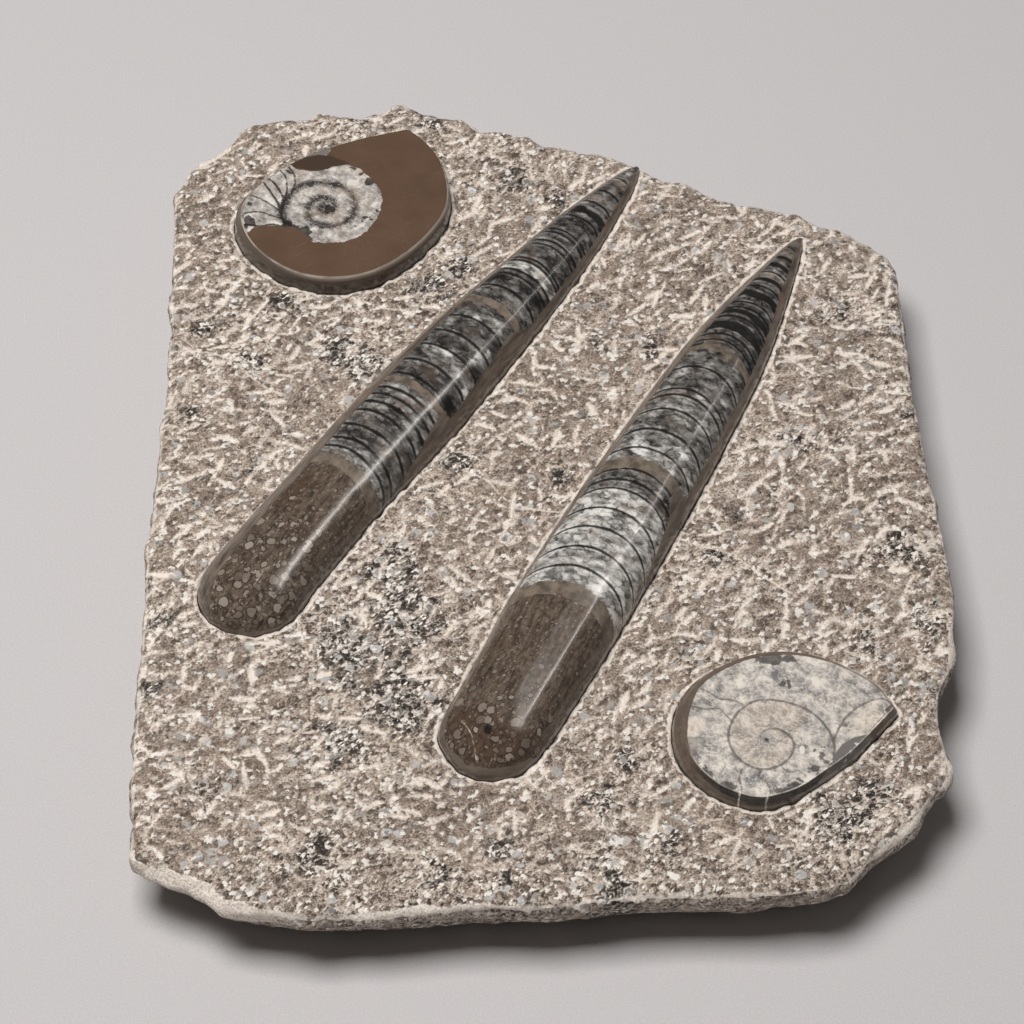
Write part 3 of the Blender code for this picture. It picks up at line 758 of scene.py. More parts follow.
def cone_frame(cone, places):
    """Middle, half width and height of an orthocone at each place, and the way across it."""
    distance, sway, half_width, height = np.array(cone["stations"]).T
    fine = np.linspace(0.0, distance[-1], AXIS_POINTS)
    turn = math.radians(cone["heading"])
    axis = np.array([math.cos(turn), math.sin(turn)])
    across = np.array([axis[1], -axis[0]])
    wear = np.exp(-0.5 * (np.arange(-WEAR_REACH, WEAR_REACH + 1) / WEAR_SPREAD) ** 2)
    wear /= wear.sum()

    def eased(values):
        """Values between the stations, worn smooth but true at both ends."""
        raw = np.interp(fine, distance, values)
        before = 2 * raw[0] - raw[WEAR_REACH:0:-1]
        beyond = 2 * raw[-1] - raw[-2 : -2 - WEAR_REACH : -1]
        padded = np.concatenate([before, raw, beyond])
        smooth = np.convolve(padded, wear, "valid")
        keep = presence(fine, 0.0, distance[-1], 6.0, 3.0)
        return np.interp(places, fine, raw + (smooth - raw) * keep)

    middles = np.array(cone["tip"]) - places[..., None] * axis + eased(sway)[..., None] * across
    return middles, across, eased(half_width), eased(height)


def cone_outline(cone):
    """The outline of an orthocone where it leaves the slab."""
    last = cone["stations"][-1][0]
    places = np.linspace(0.0, last, round(last / SEAT_STEP))
    middles, across, widths, _ = cone_frame(cone, places)
    reach = widths[:, None] * across
    return np.vstack([middles + reach, (middles - reach)[::-1]])


def cone_places(cone):
    """Rings along the cone: an even spacing, with rings added where a marking has its edge."""
    last = cone["stations"][-1][0]
    exact = [0.0, last, *itertools.chain(*cone["bands"])]
    for place, thick in cone["septa"]:
        exact += [place - thick / 2, place, place + thick / 2]
    exact = np.array(sorted(exact))
    even = np.arange(0.0, last, CONE_STEP)
    clear = np.abs(even[:, None] - exact[None, :]).min(axis=1) > 0.45 * CONE_STEP
    return np.unique(np.concatenate([even[clear], exact]))


def read_along(rows, place):
    """Values that a table of rows gives along an orthocone, one for each column after the first."""
    where, *columns = np.array(rows, float).T
    return [np.interp(place, where, column) for column in columns]


def spread_over(place, angle, spots):
    """Soft spots on an orthocone, added together."""
    total = np.zeros(place.shape)
    for spot, round_at, reach, reach_round, strength in spots:
        total += strength * soft(place - spot, reach) * soft(angle - round_at, reach_round)
    return total


def skin_lumps(place, angle, size, seed):
    """Lumps over the skin of an orthocone."""
    skin = np.stack([place.ravel(), angle.ravel() * 0.3], axis=1)
    return lumps(skin, size, seed).reshape(place.shape)


def cone_marks(cone, place, angle, half, rise):
    """The markings of an orthocone at each place along it and angle from its crest."""
    last, body_start = cone["stations"][-1][0], cone["bands"][-1][1]
    spots, thick = np.array(cone["septa"]).T
    swell = 1 + 0.6 * skin_lumps(place * 1.5, angle, 7.0, SEED + 15)[..., None] * (thick > 1.5)
    gap = np.abs(place[..., None] - spots) - thick / 2 * swell
    inside_bands = [np.minimum(place - start, end - place) for start, end in cone["bands"]]
    left, right = read_along(cone["edges"], place)
    # Right of the crest the plain foot is a tenth as high, but for the rounded end
    foot = np.where(angle < 0.0, 1.0, np.clip((place - last + 24.0) / 14.0, 0.1, 1.0))
    unrolled = np.stack([place.ravel(), angle.ravel() * ARC], axis=1)
    cracks = [np.array(crack) * (1.0, ARC) for crack in cone["cracks"]]
    return {
        "septum_gap": gap.min(axis=-1),
        "septum_count": gap.argmin(axis=-1),
        "mud_depth": np.max([*inside_bands, place - body_start + 0.5], axis=0),
        "flank_depth": np.radians(np.maximum(left - angle, angle - right)) * half,
        "tone": read_along(cone["tones"], place)[0] + spread_over(place, angle, cone["smudges"]),
        "chamber_end": place - body_start,
        "crack_gap": nearest_line(unrolled, cracks, [CRACK_WIDTH] * len(cracks)),
        "pebbles": read_along(cone["pebbles"], place)[0],
        "rust": spread_over(place, angle, cone["rust"]),
        "stain": spread_over(place, angle, cone["stains"]),
        "foot_depth": cone["foot"] * foot - rise,
    }


def make_orthocone(name, node, cone, material):
    """A straight shell. Its rings bow towards the tip at the crest, as its septa do."""
    last = cone["stations"][-1][0]
    angles = [-90.0, -90.0, *np.linspace(-90.0, 90.0, CONE_SIDES + 1), 90.0, 90.0]
    place, angle = np.meshgrid(cone_places(cone), angles, indexing="ij")
    turn = np.radians(angle)
    half = cone_frame(cone, place)[2]
    settle = presence(place, 0.0, last - CONE_END, *BOW_FADES)
    lean, centre = read_along(cone["bow"], place)
    bow = lean * half * (1 - np.cos(turn - np.radians(centre)))
    bow += 0.35 * skin_lumps(place, angle, 9.0, SEED + 5)
    at = np.clip(place + bow * settle, 0.0, last)
    middles, across, half, height = cone_frame(cone, at)

    low, high, strength = cone["ridge"]
    present = presence(at, low, high, RIDGE_FADE, RIDGE_FADE) * strength
    facet = np.clip(1 - np.abs(angle - FACET_MIDDLE) / FACET_REACH, 0.0, 1.0)
    full = 1 - present * FACET_DEPTH * (1 - (1 - facet) ** 2)
    power = 2.0 / CONE_SQUARENESS
    sine, cosine = np.sin(turn), np.maximum(np.cos(turn), 0.0)
    lateral = half * np.sign(sine) * np.abs(sine) ** power * full
    rise = height * cosine**power * full
    # The two outer rows of points on each side lie in the seat
    level = SLAB_TOP + rise
    level[:, (0, -1)] = SLAB_TOP - SEAT_DEPTH + GAP
    level[:, (1, -2)] = SLAB_TOP - 1.5

    def skin(lateral, level):
        """Points of the skin from how far across they lie and how high."""
        sides = middles + lateral[..., None] * across
        return np.concatenate([sides, level[..., None]], axis=-1).reshape(-1, 3)

    wear = rough(skin(lateral, level), 14.0, SEED + 7, 2).reshape(place.shape) * 0.12
    points = skin(lateral * (1 + wear / 20), np.where(rise > 0.5, level + wear, level))
    numbers = np.arange(place.size).reshape(place.shape)
    faces = [*ring_faces(numbers), numbers[0, ::-1].tolist(), numbers[-1].tolist()]
    marks = cone_marks(cone, place, angle, half, rise)
    marks["own_place"] = np.stack([at, lateral, rise], axis=-1)
    add_mesh(name, points, faces, node, material, marks)


# The ammonites

def nearest_line(points, lines, widths):
    """Distance outside the nearest of some lines, less than nothing within its width."""
    gaps = [
        distance_to(points, curve_through(line, 0.8), False) - width / 2
        for line, width in zip(lines, widths)
    ]
    return np.min(gaps, axis=0)


def coil_marks(coil, points):
    """The markings of an ammonite at each point of its face. Each finish takes those it needs."""
    away = points - coil["middle"]
    turn = np.arctan2(away[:, 1], away[:, 0])
    away = np.hypot(*away.T)
    # The spots have ragged outlines
    wandered = points + np.stack([rough(points, 2.6, SEED + k, 3) for k in (91, 95)], axis=1) * 1.1
    spots = [reach - gap_to(wandered, x, y) for x, y, reach in coil["spots"]]
    marks = {
        "away": away,
        "spoke": np.stack([np.cos(turn), np.sin(turn), away / 30.0], axis=1),
        "line_gap": nearest_line(points, coil["lines"], coil["line_widths"]),
        "spiral_gap": nearest_line(points, coil["lines"][:1], (0.0,)),
        "crack_gap": nearest_line(points, coil["cracks"], coil["crack_widths"]),
        "spot_depth": np.max(spots, axis=0),
    }
    for x, y, reach, amount in coil["tones"]:
        marks["tone"] = marks.get("tone", 0.0) + amount * soft(gap_to(points, x, y), reach)
    for part in ("calcite", "shade", "patch"):
        marks[part + "_depth"] = depth_in(points, coil[part])
    return marks


def make_ammonite(name, node, slot, coil, material):
    """A sliced coil: a wall, a rounded edge and a flat polished face with its markings."""
    edge = curve_through(coil["edge"], COIL_STEP, closed=True)
    narrow, wide = coil["bevel"]
    leftness = evened(np.clip(-outward(edge)[:, 0], 0.0, 1.0), 12)
    inset = narrow + (wide - narrow) * leftness**2
    top = SLAB_TOP + coil["height"]
    # The wall from its foot in the seat to the face: levels, and shares of the inset there
    profile = [(SLAB_TOP - SEAT_DEPTH + GAP, 0.0), (SLAB_TOP - 1.0, 0.0), (SLAB_TOP + 0.6, 0.02)]
    for level in np.linspace(SLAB_TOP + 1.4, top - WALL_DROP, 4):
        profile.append((level, 0.02 + WALL_DROP_INSET * (level - SLAB_TOP) / coil["height"]))
    for share in np.linspace(0.12, 1.0, 9):
        lean = WALL_DROP_INSET + (1 - WALL_DROP_INSET) * share
        profile.append((top - WALL_DROP * (1 - share) ** 1.35, lean))
    rings = [
        at_level(offset(softened(edge, 2.0 * share), -share * inset), level) for level, share in profile
    ]
    inner = rings[-1][:, :2]
    points = scattered(inner, [], FACE_STEP, 0.5 * FACE_STEP, np.random.default_rng(SEED + 1))
    everywhere = np.vstack([*rings, at_level(points, top)])
    everywhere[:, 2] += rough(everywhere[:, :2], 22.0, SEED + 9, 2) * 0.05 * (everywhere[:, 2] > top - 0.5)
    numbers = np.arange(len(rings) * len(edge)).reshape(-1, len(edge))
    faces = [numbers[0, ::-1].tolist(), *ring_faces(numbers)]
    faces += (filled([inner], points) + numbers[-1, 0]).tolist()
    marks = coil_marks(coil, everywhere[:, :2])
    marks["face_depth"] = depth_in(everywhere[:, :2], inner[::2])
    marks["own_height"] = everywhere[:, 2] - SLAB_TOP
    add_mesh(name, everywhere, faces, node, material, marks)


# Finishes. A wire is a value as a node gives it. Colours are screen colours from 0 to 255.

class Wire:
    """A value in a material. Sums and products of wires add the nodes that work them out."""

    def __init__(self, socket):
        self.socket = socket

    def __add__(self, other):
        return worked_out("ADD", self, other)

    def __sub__(self, other):
        return worked_out("SUBTRACT", self, other)

    def __rsub__(self, other):
        return worked_out("SUBTRACT", other, self)

    def __mul__(self, other):
        return worked_out("MULTIPLY", self, other)

    def __rtruediv__(self, other):
        return worked_out("DIVIDE", other, self)

    def __neg__(self):
        return self * -1.0

    def __abs__(self):
        return worked_out("ABSOLUTE", self)


def tint(red, green, blue):
    """A screen colour as the light that a shader works in."""
    parts = np.array([red, green, blue]) / 255.0
    light = np.where(parts <= 0.04045, parts / 12.92, ((parts + 0.055) / 1.055) ** 2.4)
    return (*light, 1.0)


def feed(socket, value):
    """Joins a wire to a socket, or sets the socket to a number, a vector or a screen colour."""
    if isinstance(value, Wire):
        socket.id_data.links.new(value.socket, socket)
    elif socket.type == "RGBA":
        socket.default_value = tint(*value)
    elif socket.type == "VECTOR" and isinstance(value, float):
        socket.default_value = (value, value, value)
    else:
        socket.default_value = value


def add_node(kind, sockets, tree=None, **settings):
    """Adds a node beside the wires that it takes, or to a tree when it takes none."""
    if tree is None:
        tree = next(value.socket.id_data for value in sockets.values() if isinstance(value, Wire))
    node = tree.nodes.new("ShaderNode" + kind)
    for name, value in settings.items():
        setattr(node, name, value)
    for name, value in sockets.items():
        feed(node.inputs[name], value)
    return node


def added(kind, sockets, output=0, tree=None, **settings):
    """Adds a node and gives one of its outputs."""
    return Wire(add_node(kind, sockets, tree, **settings).outputs[output])


def outputs_of(node):
    """The outputs of a node, by their names."""
    return {socket.name: Wire(socket) for socket in node.outputs}


def worked_out(operation, *values):
    """One step of working out, for vectors if any value is one, and else for numbers."""
    vectors = [
        value.socket.type == "VECTOR" if isinstance(value, Wire) else isinstance(value, tuple)
        for value in values
    ]
    kind = "VectorMath" if any(vectors) else "Math"
    return added(kind, dict(enumerate(values)), operation=operation)


def lined_up(first, second):
    """How far one vector points the way of another."""
    return added("VectorMath", {0: first, 1: second}, "Value", operation="DOT_PRODUCT")


def mix(share, under, over):
    """One colour laid over another, by its share."""
    sockets = {"Factor": share, 6: under, 7: over}
    return added("Mix", sockets, 2, data_type="RGBA")


def between(value, low, high, start=0.0, end=1.0):
    """Start where the value is low, end where it is high, and an easy slope between."""
    sockets = {"Value": value, 1: low, 2: high, 3: start, 4: end}
    return added("MapRange", sockets, interpolation_type="SMOOTHSTEP")


def clouds(place, size, layers=3.0, harshness=0.5):
    """Soft clouds of about this size, mostly between 0.3 and 0.7."""
    sockets = {"Vector": place, "Scale": 1.0 / size, "Detail": layers, "Roughness": harshness}
    return added("TexNoise", sockets)


def cells(place, size):
    """Random cells: the distance from their points, their random colours and their points."""
    return outputs_of(add_node("TexVoronoi", {"Vector": place, "Scale": 1.0 / size}))


def chances(colour):
    """The three random numbers in a cell's colour."""
    return [Wire(socket) for socket in add_node("SeparateColor", {0: colour}).outputs]


def stretched(place, turn, scale):
    """The place for a pattern that is turned and stretched."""
    sockets = {"Vector": place, "Rotation": (0.0, 0.0, turn), "Scale": scale}
    return added("Mapping", sockets, vector_type="TEXTURE")


def ramp(value, *stops):
    """The colour for a value, blended between stops of a value and a colour."""
    node = add_node("ValToRGB", {0: value})
    points = node.color_ramp.elements
    points[0].position, points[1].position = stops[0][0], stops[-1][0]
    for position, _ in stops[1:-1]:
        points.new(position)
    for point, (_, colour) in zip(points, stops):
        point.color = tint(*colour)
    return Wire(node.outputs[0])


def shared_effect(**usual):
    """Makes a function of wires into a node group, whose inputs have these usual values. The
    group is built once. Each call then places it, with its own values, and gives its outputs."""

    def make(work_out):
        @functools.cache
        def group():
            tree = bpy.data.node_groups.new(work_out.__name__, "ShaderNodeTree")
            for name, value in usual.items():
                kind = "NodeSocketVector" if name == "Place" else "NodeSocketFloat"
                socket = tree.interface.new_socket(name, in_out="INPUT", socket_type=kind)
                socket.default_value = value
            given = tree.nodes.new("NodeGroupInput").outputs
            results = work_out(*(Wire(given[name]) for name in usual))
            for name, wire in results.items():
                kind = "NodeSocketColor" if wire.socket.type == "RGBA" else "NodeSocketFloat"
                tree.interface.new_socket(name, in_out="OUTPUT", socket_type=kind)
            node = tree.nodes.new("NodeGroupOutput")
            for name, wire in results.items():
                feed(node.inputs[name], wire)
            return tree

        def place_group(*values):
            return outputs_of(add_node("Group", dict(zip(usual, values)), node_tree=group()))

        return place_group

    return make


@shared_effect(Depth=0.0, Place=ORIGIN, Size=1.5, Raggedness=0.5, Softness=0.2)
def torn_edge(depth, place, size, raggedness, softness):
    """Turns a depth inside an outline into a mask whose edge wanders and is a little soft."""
    wander = (clouds(place, size, 3.0, 0.55) - 0.5) * (raggedness * 3.0)
    return {"Mask": between(wander + depth, -softness, softness)}


@shared_effect(Place=ORIGIN, Grain=1.0)
def stone_grain(place, grain):
    """The grain of all the limestone: fine speckle, rubble of crumbs and thin flakes of shell."""
    place = place * (1.0 / grain)
    speckle = clouds(place, 0.8, 2.0, 0.75)
    swayed = speckle * (2.0, 2.4, 1.5) + place
    rubble = chances(cells(swayed, 1.5)["Color"])[0]
    thin = cells(stretched(swayed, 0.75, (2.1, 1.0, 1.3)), 1.15)
    chosen = worked_out("LESS_THAN", chances(thin["Color"])[0], 0.26)
    flakes = between(thin["Distance"], 0.44, 0.26) * chosen
    return {"Speckle": speckle, "Rubble": rubble, "Flakes": flakes, "Relief": rubble * 0.5 + speckle}


@shared_effect(Place=ORIGIN, Size=3.0, Amount=0.5)
def shell_hash(place, size, amount):
    """Broken shell in the stone: rounded pieces cut through, with outlines and open arcs."""
    place = place * (1.0 / size)
    place = clouds(place, 0.8, 2.0) * (0.9, -0.8, 0.6) + place
    cell = cells(place, 1.0)
    chance, shade, spread = chances(cell["Color"])
    kept = worked_out("LESS_THAN", chance, amount)
    rim = spread * 0.26 + (amount * 0.10 + 0.17) - cell["Distance"]
    near = between(abs(rim), 0.075, 0.02)
    side = lined_up(place - cell["Position"], cell["Color"] - (0.5, 0.5, 0.5))
    return {
        "Pieces": between(rim, -0.01, 0.05) * kept, "Outlines": near * kept,
        "Arcs": near * between(side, 0.01, 0.04), "Shade": shade,
    }


@shared_effect(Place=ORIGIN, Paleness=0.5, Contrast=1.0)
def calcite_marble(place, paleness, contrast):
    """Calcite that grew in the chambers: cloudy crystals between fine dark cracks."""
    drift = clouds(place, 3.0, 2.0)
    swayed = drift * (3.0, -2.6, 2.4) + place
    crystals = cells(swayed, 2.9)
    crystal = (chances(crystals["Color"])[0] - 0.5) * 0.42
    rounded = between(crystals["Distance"], 0.40, 0.60) * -0.16 + 0.08
    pale = (clouds(swayed, 4.2, 3.0, 0.66) - 0.5) * 1.25 + (crystal + rounded)
    cracks = between(abs(drift - 0.5), 0.035, 0.006)
    colour = ramp(
        cracks * -0.16 + (pale * contrast + paleness),
        (0.0, (22, 21, 20)), (0.22, (56, 53, 51)), (0.42, (98, 94, 90)), (0.62, (142, 138, 133)),
        (0.82, (184, 180, 174)), (1.0, (214, 209, 202)),
    )
    warm = between(clouds(place, 11.0, 2.0), 0.5, 0.72, 0.0, 0.4)
    return {"Colour": mix(warm, colour, mix(0.5, colour, (150, 124, 104)))}


@shared_effect(Place=ORIGIN, Shine=0.2)
def worn_polish(place, shine):
    """Polish with its wear: cloudy dull places, fine scratches and pinholes."""
    dull = between(clouds(place, 9.0, 4.0, 0.6), 0.45, 0.75, 0.0, 0.10)
    scratches = between(clouds(stretched(place, 0.6, (16.0, 0.62, 2.5)), 1.0, 3.0, 0.7), 0.64, 0.72)
    pins = between(cells(place, 3.4)["Distance"], 0.10, 0.05)
    relief = clouds(place, 5.0, 2.0) * 0.5 + (scratches * -0.12 + pins * -0.6)
    return {
        "Roughness": pins * 0.2 + (scratches * 0.12 + (dull + shine)), "Relief": relief,
        "Scratches": scratches,
    }


class Finish:
    """A material in the making, with the place on its piece in millimetres."""

    def __init__(self, name, coat=0.0, coat_roughness=0.08):
        self.material = bpy.data.materials.new(name)
        self.material.use_nodes = True
        self.tree = self.material.node_tree
        self.sockets = self.tree.nodes["Principled BSDF"].inputs
        feed(self.sockets["Metallic"], 0.0)
        feed(self.sockets["Coat Weight"], coat)
        feed(self.sockets["Coat Roughness"], coat_roughness)
        self.place = added("TexCoord", {}, "Object", self.tree) * (1.0 / MM)

    def mark(self, name, output="Fac"):
        """What the mesh keeps under this name at each of its points."""
        return added("Attribute", {}, output, self.tree, attribute_name=name)

    def done(self, colour, roughness, relief=None, depth=0.0):
        """The material. Its relief, of a depth in millimetres, is too fine to be in the mesh."""
        feed(self.sockets["Base Color"], colour)
        feed(self.sockets["Roughness"], roughness)
        if relief is not None:
            sockets = {"Height": relief, "Distance": depth * MM, "Strength": 1.0}
            feed(self.sockets["Normal"], added("Bump", sockets))
        return self.material


def painted(colour, over, strength, depth, place, *edge):
    """A colour laid over all that has some depth. The torn edge has a size, a raggedness and a
    softness."""
    return mix(torn_edge(depth, place, *edge)["Mask"] * strength, colour, over)


def slab_material():
    """Brown and dark limestone with shells, pale strokes and fresh breaks."""
    finish = Finish("chiselled_limestone")
    place, dark, shelly = finish.place, finish.mark("dark_patch"), finish.mark("shelly")
    grain = stone_grain(place, 1.0)
    speckle = grain["Speckle"] - 0.5
    crumbly = shelly * 0.55 + 0.16
    tone = (grain["Rubble"] - 0.5) * crumbly + finish.mark("mottle")
    tone = grain["Flakes"] * crumbly + (speckle * 1.15 + tone)
    brown = ramp(
        tone, (0.0, (50, 43, 39)), (0.20, (86, 74, 66)), (0.42, (128, 112, 100)),
        (0.62, (168, 152, 138)), (0.80, (212, 198, 184)), (1.0, (236, 226, 215)),
    )
    grey = ramp(
        grain["Flakes"] * 0.45 + tone, (0.0, (28, 25, 24)), (0.34, (48, 43, 40)),
        (0.54, (86, 78, 72)), (0.70, (158, 147, 137)), (0.92, (240, 231, 221)),
    )
    colour = mix(dark, brown, grey)

    # Shells
    bits = shell_hash(place, 4.6, 0.33)
    shell = mix(bits["Shade"], (204, 203, 201), (136, 132, 127))
    colour = mix(bits["Pieces"] * 0.7, colour, shell)
    colour = mix(bits["Outlines"] * 0.4, colour, (84, 74, 67))
    colour = mix(bits["Arcs"] * (dark * 0.6 + 0.3), colour, (226, 214, 201))

    # Strokes of the chisel and curls of shell
    strike = dark * -0.3 + (speckle * 1.5 + finish.mark("chisel"))
    colour = mix(between(strike, 0.10, 0.42) * 0.5, colour, (186, 168, 152))
    colour = mix(between(strike, 0.24, 0.96) * 0.92, colour, CREAM)
    curls = clouds(grain["Speckle"] * (2.0, 1.6, 0.0) + place, 3.2, 2.0)
    curls = between(abs(curls - 0.5), 0.035, 0.008) * (shelly * 0.5 + 0.12)
    colour = mix(curls, colour, (228, 216, 203))

    # Bruised lips and rim, pits, crumbs, veins and fresh breaks
    colour = painted(colour, CREAM, 0.8, 1.4 - finish.mark("seat_gap"), place, 3.4, 1.5, 0.4)
    colour = painted(colour, CREAM, 0.6, 1.0 - finish.mark("rim_gap"), place, 5.0, 1.1, 0.4)
    colour = mix(between(grain["Rubble"], 0.16, 0.06, 0.0, 0.6), colour, (70, 61, 54))
    colour = mix(between(grain["Rubble"], 0.88, 0.95, 0.0, 0.75), colour, (240, 233, 224))
    colour = mix(between(finish.mark("vein_gap"), 0.7, 0.2, 0.0, 0.8), colour, (226, 212, 198))
    newly = mix(between(grain["Speckle"], 0.3, 0.6), (204, 187, 171), (252, 240, 228))
    fresh = speckle * 0.5 + finish.mark("fresh")
    colour = mix(between(fresh, 0.3, 0.6, 0.0, 0.9), colour, newly)
    return finish.done(colour, between(bits["Pieces"], 0.0, 1.0, 0.88, 0.5), grain["Relief"], 0.45)


def body_colour(finish, own, grain):
    """The living chamber: brown stone with rust, long streaks and pebbles of shell."""
    pebbles = finish.mark("pebbles")
    streaks = clouds(own * (0.3, 1.5, 1.5), 2.4, 4.0, 0.7)
    colour = mix(between(streaks, 0.3, 0.7), (62, 51, 42), (112, 97, 84))
    rust = clouds(own, 8.0, 3.0, 0.6) * 1.4 + finish.mark("rust")
    colour = mix(between(rust, 0.8, 1.5, 0.0, 0.7), colour, (76, 56, 43))
    colour = mix(between(grain["Rubble"], 0.5, 0.9, 0.0, 0.5), colour, (46, 39, 34))
    colour = mix(grain["Flakes"] * 0.4, colour, (150, 138, 126))
    small = shell_hash(own, 2.3, pebbles)
    large = shell_hash(own + (9.0, 31.0, 7.0), 4.4, between(pebbles, 0.2, 0.95))
    for shells, strength in ((small, 0.45), (large, 0.7)):
        shell = mix(shells["Shade"], (170, 158, 144), (98, 85, 74))
        colour = mix(shells["Pieces"] * strength, colour, shell)
        colour = mix(shells["Outlines"] * 0.75, colour, (44, 36, 31))
    stain = (grain["Speckle"] - 0.5) * 1.2 + finish.mark("stain")
    return mix(between(stain, 0.35, 0.75, 0.0, 0.9), colour, (24, 21, 20))


def orthocone_material():
    """Calcite between septa and mud, a brown living chamber and flanks."""
    finish = Finish("banded_calcite", coat=0.35, coat_roughness=0.1)
    own, septum, tone = finish.mark("own_place", "Vector"), finish.mark("septum_gap"), finish.mark("tone")
    count = added("TexWhiteNoise", {"W": finish.mark("septum_count")}, noise_dimensions="1D")
    pale = (count - 0.5) * 0.12 + tone + between(abs(septum - 0.75), 0.5, 0.1, 0.0, 0.10)
    colour = calcite_marble(own * (1.25, 0.8, 0.8), pale, tone * 0.8 + 0.42)["Colour"]
    colour = painted(colour, (22, 20, 19), 0.92, -septum, own, 2.5, 0.1, 0.18)

    # Bands of mud and the living chamber
    grain = stone_grain(finish.place, 0.8)
    muddy = mix(between(clouds(own, 5.0, 4.0, 0.6), 0.34, 0.66), (84, 74, 65), (124, 111, 98))
    muddy = mix(grain["Flakes"] * 0.3, muddy, (90, 76, 66))
    colour = painted(colour, muddy, 1.0, finish.mark("mud_depth"), own, 2.6, 1.2, 0.16)

    plain = mix(clouds(own, 4.0, 3.0, 0.6), (92, 81, 71), (120, 108, 96))
    body = body_colour(finish, own, grain)
    body = painted(body, plain, 0.9, finish.mark("foot_depth"), own, 5.0, 0.6, 0.25)
    colour = painted(colour, body, 1.0, finish.mark("chamber_end"), own, 4.0, 0.4, 0.25)

    # Flanks and cracks
    along = clouds(own * (0.22, 1.0, 1.0), 2.6, 4.0, 0.65)
    side = mix(between(along, 0.3, 0.7), (72, 63, 56), (118, 104, 92))
    rust = between(clouds(own + (5.0, 40.0, 2.0), 10.0, 3.0), 0.58, 0.70)
    side = mix(rust * 0.5, side, (122, 86, 63))
    colour = painted(colour, side, 1.0, finish.mark("flank_depth"), own, 2.6, 0.8, 0.2)
    colour = painted(colour, (190, 176, 160), 0.75, -finish.mark("crack_gap"), own, 2.0, 0.3, 0.2)
    polish = worn_polish(finish.place, 0.2)
    return finish.done(colour, polish["Roughness"], polish["Relief"], POLISH_DEPTH)


def side_reach(finish, heading):
    """How far a point lies to one side of an ammonite, from 0 to 1."""
    turn = math.radians(heading)
    across = lined_up(finish.mark("spoke", "Vector"), (math.cos(turn), math.sin(turn), 0.0))
    return between(across, 0.1, 0.85)


def brown_material():
    """Brown mudstone round a spiral of calcite, with a dark wall."""
    finish = Finish("brown_mudstone", coat=0.35, coat_roughness=0.1)
    place, face = finish.place, finish.mark("face_depth")
    grain = stone_grain(place, 0.7)
    polish = worn_polish(place, 0.2)
    colour = mix(clouds(place, 14.0, 5.0, 0.62), (78, 59, 46), (102, 80, 64))
    colour = mix(between(grain["Speckle"], 0.56, 0.68, 0.0, 0.22), colour, (66, 50, 40))
    colour = mix(polish["Scratches"] * 0.2, colour, (150, 132, 116))
    gathered = between(clouds(place, 16.0, 2.0), 0.46, 0.58, 0.0, 0.6)
    colour = mix(between(grain["Speckle"], 0.66, 0.74) * gathered, colour, (178, 160, 144))
    colour = painted(colour, (62, 48, 40), 0.8, finish.mark("shade_depth"), place, 3.0, 0.5, 0.5)

    # The calcite, darker by the spiral and in the core, with its lines and spots
    spiral = finish.mark("spiral_gap")
    ray = clouds(finish.mark("spoke", "Vector") * (4.5, 4.5, 9.0), 1.5, 3.0, 0.6)
    mottle = clouds(place, 3.0, 3.0, 0.55)
    core = between(finish.mark("away"), 3.6, 1.0, 0.0, 0.42)
    shade = worked_out("MAXIMUM", between(spiral, 2.9, 0.1, 0.0, 0.50), core)
    calcite = ramp(
        ray + (mottle * 0.6 + 0.06) - shade, (0.34, (54, 50, 48)), (0.56, (98, 92, 88)),
        (0.76, (140, 133, 127)), (0.92, (176, 169, 161)), (1.0, (212, 204, 196)),
    )
    warm = between(clouds(place + (7.0, 3.0, 1.0), 9.0, 2.0), 0.5, 0.7, 0.0, 0.35)
    calcite = mix(warm, calcite, (178, 158, 140))
    flakes = abs(clouds(mottle * (5.0, -4.0, 0.0) + place, 2.6, 2.0) - 0.5)
    calcite = mix(between(flakes, 0.05, 0.01, 0.0, 0.35), calcite, (226, 219, 211))
    calcite = mix(between(flakes, 0.14, 0.18, 0.0, 0.25), calcite, (112, 105, 100))
    calcite = painted(calcite, (66, 60, 57), 0.5, 0.5 - spiral, place, 1.6, 0.5, 0.7)
    calcite = painted(calcite, (34, 30, 29), 0.88, -finish.mark("line_gap"), place, 1.4, 0.3, 0.22)
    calcite = painted(calcite, (34, 29, 27), 0.88, finish.mark("spot_depth"), place, 1.0, 0.8, 0.3)
    colour = painted(colour, calcite, 1.0, finish.mark("calcite_depth"), place, 2.2, 0.6, 0.2)

    # The wall, painted highlights on its top and along the rim, and the cracks
    wall = mix(clouds(place, 7.0, 4.0), (48, 38, 32), (78, 65, 55))
    wall = mix(side_reach(finish, 180.0) * 0.6, wall, (94, 85, 77))
    # The wall is lighter towards its top: a painted highlight
    wall = mix(between(finish.mark("own_height"), 4.4, 7.4, 0.0, 0.3), wall, (112, 97, 85))
    patch = finish.mark("patch_depth")
    colour = painted(colour, (118, 114, 112), 0.85, patch, place, 3.0, 0.2, 0.3)
    colour = painted(colour, wall, 0.9, -face, place, 6.0, 0.15, 0.2)
    # A pale line along the rim and a glint on its lower right: painted highlights
    uneven = between(clouds(place, 11.0, 2.0), 0.36, 0.6, 0.3, 0.9)
    colour = mix(between(abs(face + 0.3), 0.36, 0.08) * uneven, colour, (190, 177, 163))
    glint = between(abs(face + 0.5), 0.6, 0.1) * (side_reach(finish, 305.0) * 0.3)
    colour = mix(glint, colour, (188, 174, 160))
    cracks = -finish.mark("crack_gap")
    colour = painted(colour, (196, 184, 172), 0.8, cracks, place, 2.0, 0.2, 0.2)
    return finish.done(colour, polish["Roughness"], polish["Relief"], POLISH_DEPTH)


